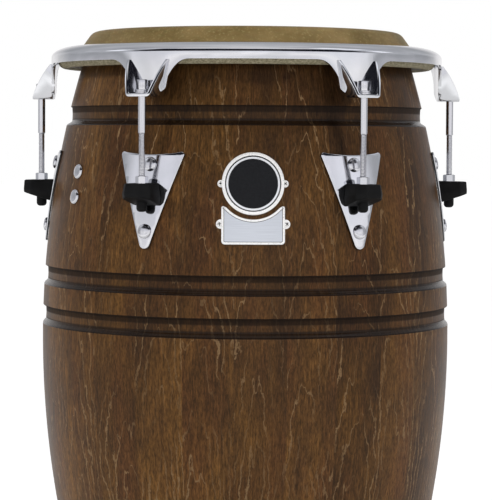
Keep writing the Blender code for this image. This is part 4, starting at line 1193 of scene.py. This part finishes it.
def bolt_mesh(name, head_radius, head_height, lift):
    """A round head with its shank, spun from the shank's end to the crown."""
    shoulder = head_height - 0.9 * MM
    head = head_radius / MM
    points = above_base(-bolt_reach, (0.0, 0.0), (bolt_shank - 0.4, 0.0), (bolt_shank, 0.5))
    points += above_base(lift, (bolt_shank, 0.0), (head - 0.3, 0.0), (head, 0.2))
    points += arc((head_radius - shoulder, lift + 0.3 * MM), shoulder, 0.0, math.radians(72), 8)
    reached, level = points[-1]
    top = lift + head_height
    points += [(reached * share, top - (top - level) * share**2.2) for share in (0.85, 0.65, 0.45, 0.25, 0.0)]
    return to_mesh(spun(points, 48), name)


def made_bolt(name, mesh, node, place):
    """One bolt in its place."""
    made_piece(name, mesh.copy(), [rod_chrome], "shell", [node], place)


plate_bolt = bolt_mesh("plate_bolt", 6.8 * MM, 3.5 * MM, seat_gap + plate)
side_bolt = bolt_mesh("side_bolt", 7.2 * MM, 3.3 * MM, seat_gap)
for number, angle in enumerate(lug_angles, start=1):
    for end, at in (("upper", plate_top - 12.3 * MM), ("lower", plate_tip + 16.0 * MM)):
        made_bolt(f"round_head_{number}_{end}", plate_bolt, f"plate_bolt_{number}_{end}", seat(angle, at))
for end, at in (("upper", height - 137.0 * MM), ("lower", height - 161.0 * MM)):
    made_bolt(f"round_head_side_{end}", side_bolt, f"side_bolt_{end}", seat(side_bolt_angle, at))

# %% [markdown]
# ## Badge
#
# The badge is a round pressed disc: a bright raised rim, a dark gap, a thin silver ring and a bare
# black field. It is spun as rings of different finish, gets two round tabs for its screws, is tilted
# upright, and bent to the shell like the plates.

# %% Badge
badge_height = height - 146.2 * MM
badge_tab_out = 29.4 * MM
rim_starts = 25.52
print_starts, print_ends = 22.66, 24.52
rings = [  # radius and rise, in millimetres
    (0.0, 1.20), (22.65, 1.20), (22.75, 1.32), (24.5, 1.32), (24.6, 1.15), (25.5, 1.15), (25.6, 1.95),
    (25.8, 2.1), (26.9, 2.16), (28.1, 2.05), (28.5, 1.75), (28.65, 1.3), (28.65, 0.05)]
front = Matrix.Rotation(math.pi / 2, 4, "X")


def add_tabs(work, radius, depth, sides, places, index):
    """Round tabs for the small screws, a little narrower at their face."""
    for place in places:
        before = set(work.verts)
        bmesh.ops.create_cone(work, cap_ends=True, segments=sides, radius1=radius, radius2=radius - 0.25 * MM,
                              depth=depth, matrix=place)
        for face in {face for point in set(work.verts) - before for face in point.link_faces}:
            face.material_index = index


work = bmesh.new()
spin(work, chain(work, above_base(0.0, *rings)), angle=2 * math.pi, steps=96, use_merge=True)
bmesh.ops.remove_doubles(work, verts=work.verts, dist=0.001 * MM)
bmesh.ops.holes_fill(work, edges=[edge for edge in work.edges if edge.is_boundary])
bmesh.ops.recalc_face_normals(work, faces=work.faces)
for face in work.faces:
    radius = face.calc_center_median().xy.length / MM
    on_rim = radius > rim_starts or face.normal.z < -0.5
    face.material_index = 2 if on_rim else int(print_starts < radius < print_ends)
add_tabs(work, 3.4 * MM, 0.8 * MM, 32,
         [Matrix.Translation((side * badge_tab_out, 0, 0.45 * MM)) for side in (-1, 1)], 2)
bmesh.ops.translate(work, vec=(0, 0, seat_gap), verts=work.verts)
bmesh.ops.transform(work, matrix=Matrix.Translation((0, 0, badge_height)) @ front, verts=work.verts)
bent_on_shell(work)
badge_finishes = [enamel, silver_print, satin_silver]
made_piece("badge_disc", to_mesh(work, "badge", 25), badge_finishes, "shell", ["badge"])

# %% [markdown]
# ## Name plate
#
# Under the badge sits a bright plate whose upper edge is hollowed to follow it. It is kept bare: brushed
# metal, a pale border and the thin dark line between them. Insets of the front face give the border and
# the line.

# %% Name plate
name_half = 29.0 * MM
name_low = badge_height - 55.3 * MM
name_hollow = 32.6 * MM
name_tab_out = 29.8 * MM
name_tab_level = badge_height - 36.8 * MM
horn = 2.4 * MM
horn_in = name_half - 2 * horn
horn_high = badge_height - math.sqrt(name_hollow**2 - horn_in**2) + horn
hollow_steps = 32

right = rounded((name_half, name_low), (0.0, name_low), (name_half, horn_high), 3.2 * MM)
right += rounded((name_half, horn_high), (name_half, name_low), (horn_in, horn_high - horn), 1.7 * MM)
hollow = []
for step in range(hollow_steps + 1):
    turn = math.asin(horn_in / name_hollow) * (1 - 2 * step / hollow_steps)
    hollow.append((name_hollow * math.sin(turn), badge_height - name_hollow * math.cos(turn)))
work = slab(right + hollow + other_side(right), seat_gap, seat_gap + 1.0 * MM)
face = min(work.faces, key=lambda face: face.calc_center_median().y)


def inset(width):
    """Insets the plate's front face and returns the faces round it."""
    ring = bmesh.ops.inset_region(work, faces=[face], thickness=width, depth=0.0, use_even_offset=True)
    return ring["faces"]


inset(0.35 * MM)
bmesh.ops.translate(work, vec=(0, -0.3 * MM, 0), verts=face.verts)
inset(1.75 * MM)
line_faces = inset(0.45 * MM)
for item in work.faces:
    item.material_index = 1
for item in line_faces:
    item.material_index = 2
face.material_index = 0
sliced(work, cell)
tab_level = Matrix.Translation((0, -seat_gap - 0.5 * MM, name_tab_level))
tab_places = [Matrix.Translation((side * name_tab_out, 0, 0)) @ tab_level @ front for side in (-1, 1)]
add_tabs(work, 4.4 * MM, 0.9 * MM, 36, tab_places, 1)
bent_on_shell(work)
name_finishes = [brushed_plate, satin_silver, enamel]
name_mesh = to_mesh(work, "name_plate", 30)
made_piece("name_plate_bare", name_mesh, name_finishes, "shell", ["name_plate"])

# %% [markdown]
# ## Small screws
#
# Four small screws with crossed slots hold the badge and the name plate by their tabs. A low dome is
# spun, and two narrow bars are cut from it. The slots are painted dark, as painted shade.

# %% Small screws
dome_out = 2.3  # radius in millimetres
slot_low = 0.25 * MM
slot_reach = 1.75 * MM
slot_size = (3.3 * MM, 0.75 * MM, 2.0 * MM, 1.0)
a_hair = 0.01 * MM
outline = above_base(
    0.0, (0.0, -0.6), (dome_out - 0.2, -0.6), (dome_out, 0.0), (dome_out - 0.15, 0.35),
    (dome_out * 0.7, 0.8), (dome_out * 0.35, 1.0), (0.0, 1.05))
screw_mesh = to_mesh(spun(outline, 32), "screw", 50)
for turn in (0.0, math.pi / 2):
    slot_place = Matrix.Rotation(turn, 4, "Z") @ Matrix.Translation((0, 0, slot_low + MM))
    slot_bar = bmesh.new()
    bmesh.ops.create_cube(slot_bar, size=1.0, matrix=slot_place @ Matrix.Diagonal(slot_size))
    screw_mesh = cut_by(screw_mesh, slot_bar)
# The slots' faces get the black enamel: painted shade in the recess.
for face in screw_mesh.polygons:
    level = face.center.z
    cut_face = level < slot_low + a_hair or abs(face.normal.z) < 0.1
    in_slot = face.center.xy.length < slot_reach and cut_face and level > slot_low - a_hair
    face.material_index = int(in_slot)
screw_rows = (
    ("badge", badge_tab_out, badge_height, 1.15 * MM),
    ("name", name_tab_out, name_tab_level, 1.25 * MM))
for tabs, out, level, lift in screw_rows:
    for side, label in ((-1, "left"), (1, "right")):
        place = seat(side * out / shell_radius(badge_height), level, seat_gap + lift)
        place = place @ Matrix.Rotation(0.5 + side * 0.35, 4, "Z")
        name = f"screw_{tabs}_{label}"
        made_piece(name, screw_mesh.copy(), [satin_silver, enamel], "shell", (), place)

# %% [markdown]
# ## Foot ring and the hardware inside
#
# The rubber ring under the shell is a plain turned channel with soft edges. The strips and nuts inside
# the shell keep the shape they have in the frame, and only get their zinc finish.

# %% Foot ring and inner hardware
foot_wall = 3.0 * MM
foot_floor = 4.2 * MM


def outer(level, away):
    """Radius at a distance outside the shell."""
    return shell_radius(level) + seat_gap + away


def inner(level, away):
    """Radius at a distance inside the shell."""
    return shell_radius(level) - wall - seat_gap - away


outline = [
    (outer(0.0, foot_wall - 1.2 * MM), 0.0), (outer(0.0, foot_wall), 1.2 * MM),
    (outer(19 * MM, foot_wall), 19 * MM), (outer(21 * MM, 2.2 * MM), 21.2 * MM),
    (outer(22 * MM, MM), 22 * MM), (outer(22 * MM, 0.0), 22 * MM),
    (outer(foot_floor, 0.0), foot_floor), (inner(foot_floor, 0.0), foot_floor),
    (inner(13 * MM, 0.0), 13 * MM), (inner(13 * MM, 2.4 * MM), 13 * MM),
    (inner(12 * MM, foot_wall), 12.2 * MM), (inner(0.0, foot_wall), 0.8 * MM),
    (inner(0.0, foot_wall - 0.8 * MM), 0.0)]
foot_mesh = to_mesh(spun(outline, 144, closed=True), "foot_channel")
made_piece("foot_channel", foot_mesh, [rubber], "shell", ["foot_ring"])

kept = [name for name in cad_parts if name.startswith(("backing_strap", "side_backing", "side_nut"))]
for name in kept:
    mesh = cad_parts[name].data
    mesh.materials.clear()
    mesh.materials.append(zinc_steel)
print("kept from the frame:", len(kept), "pieces")
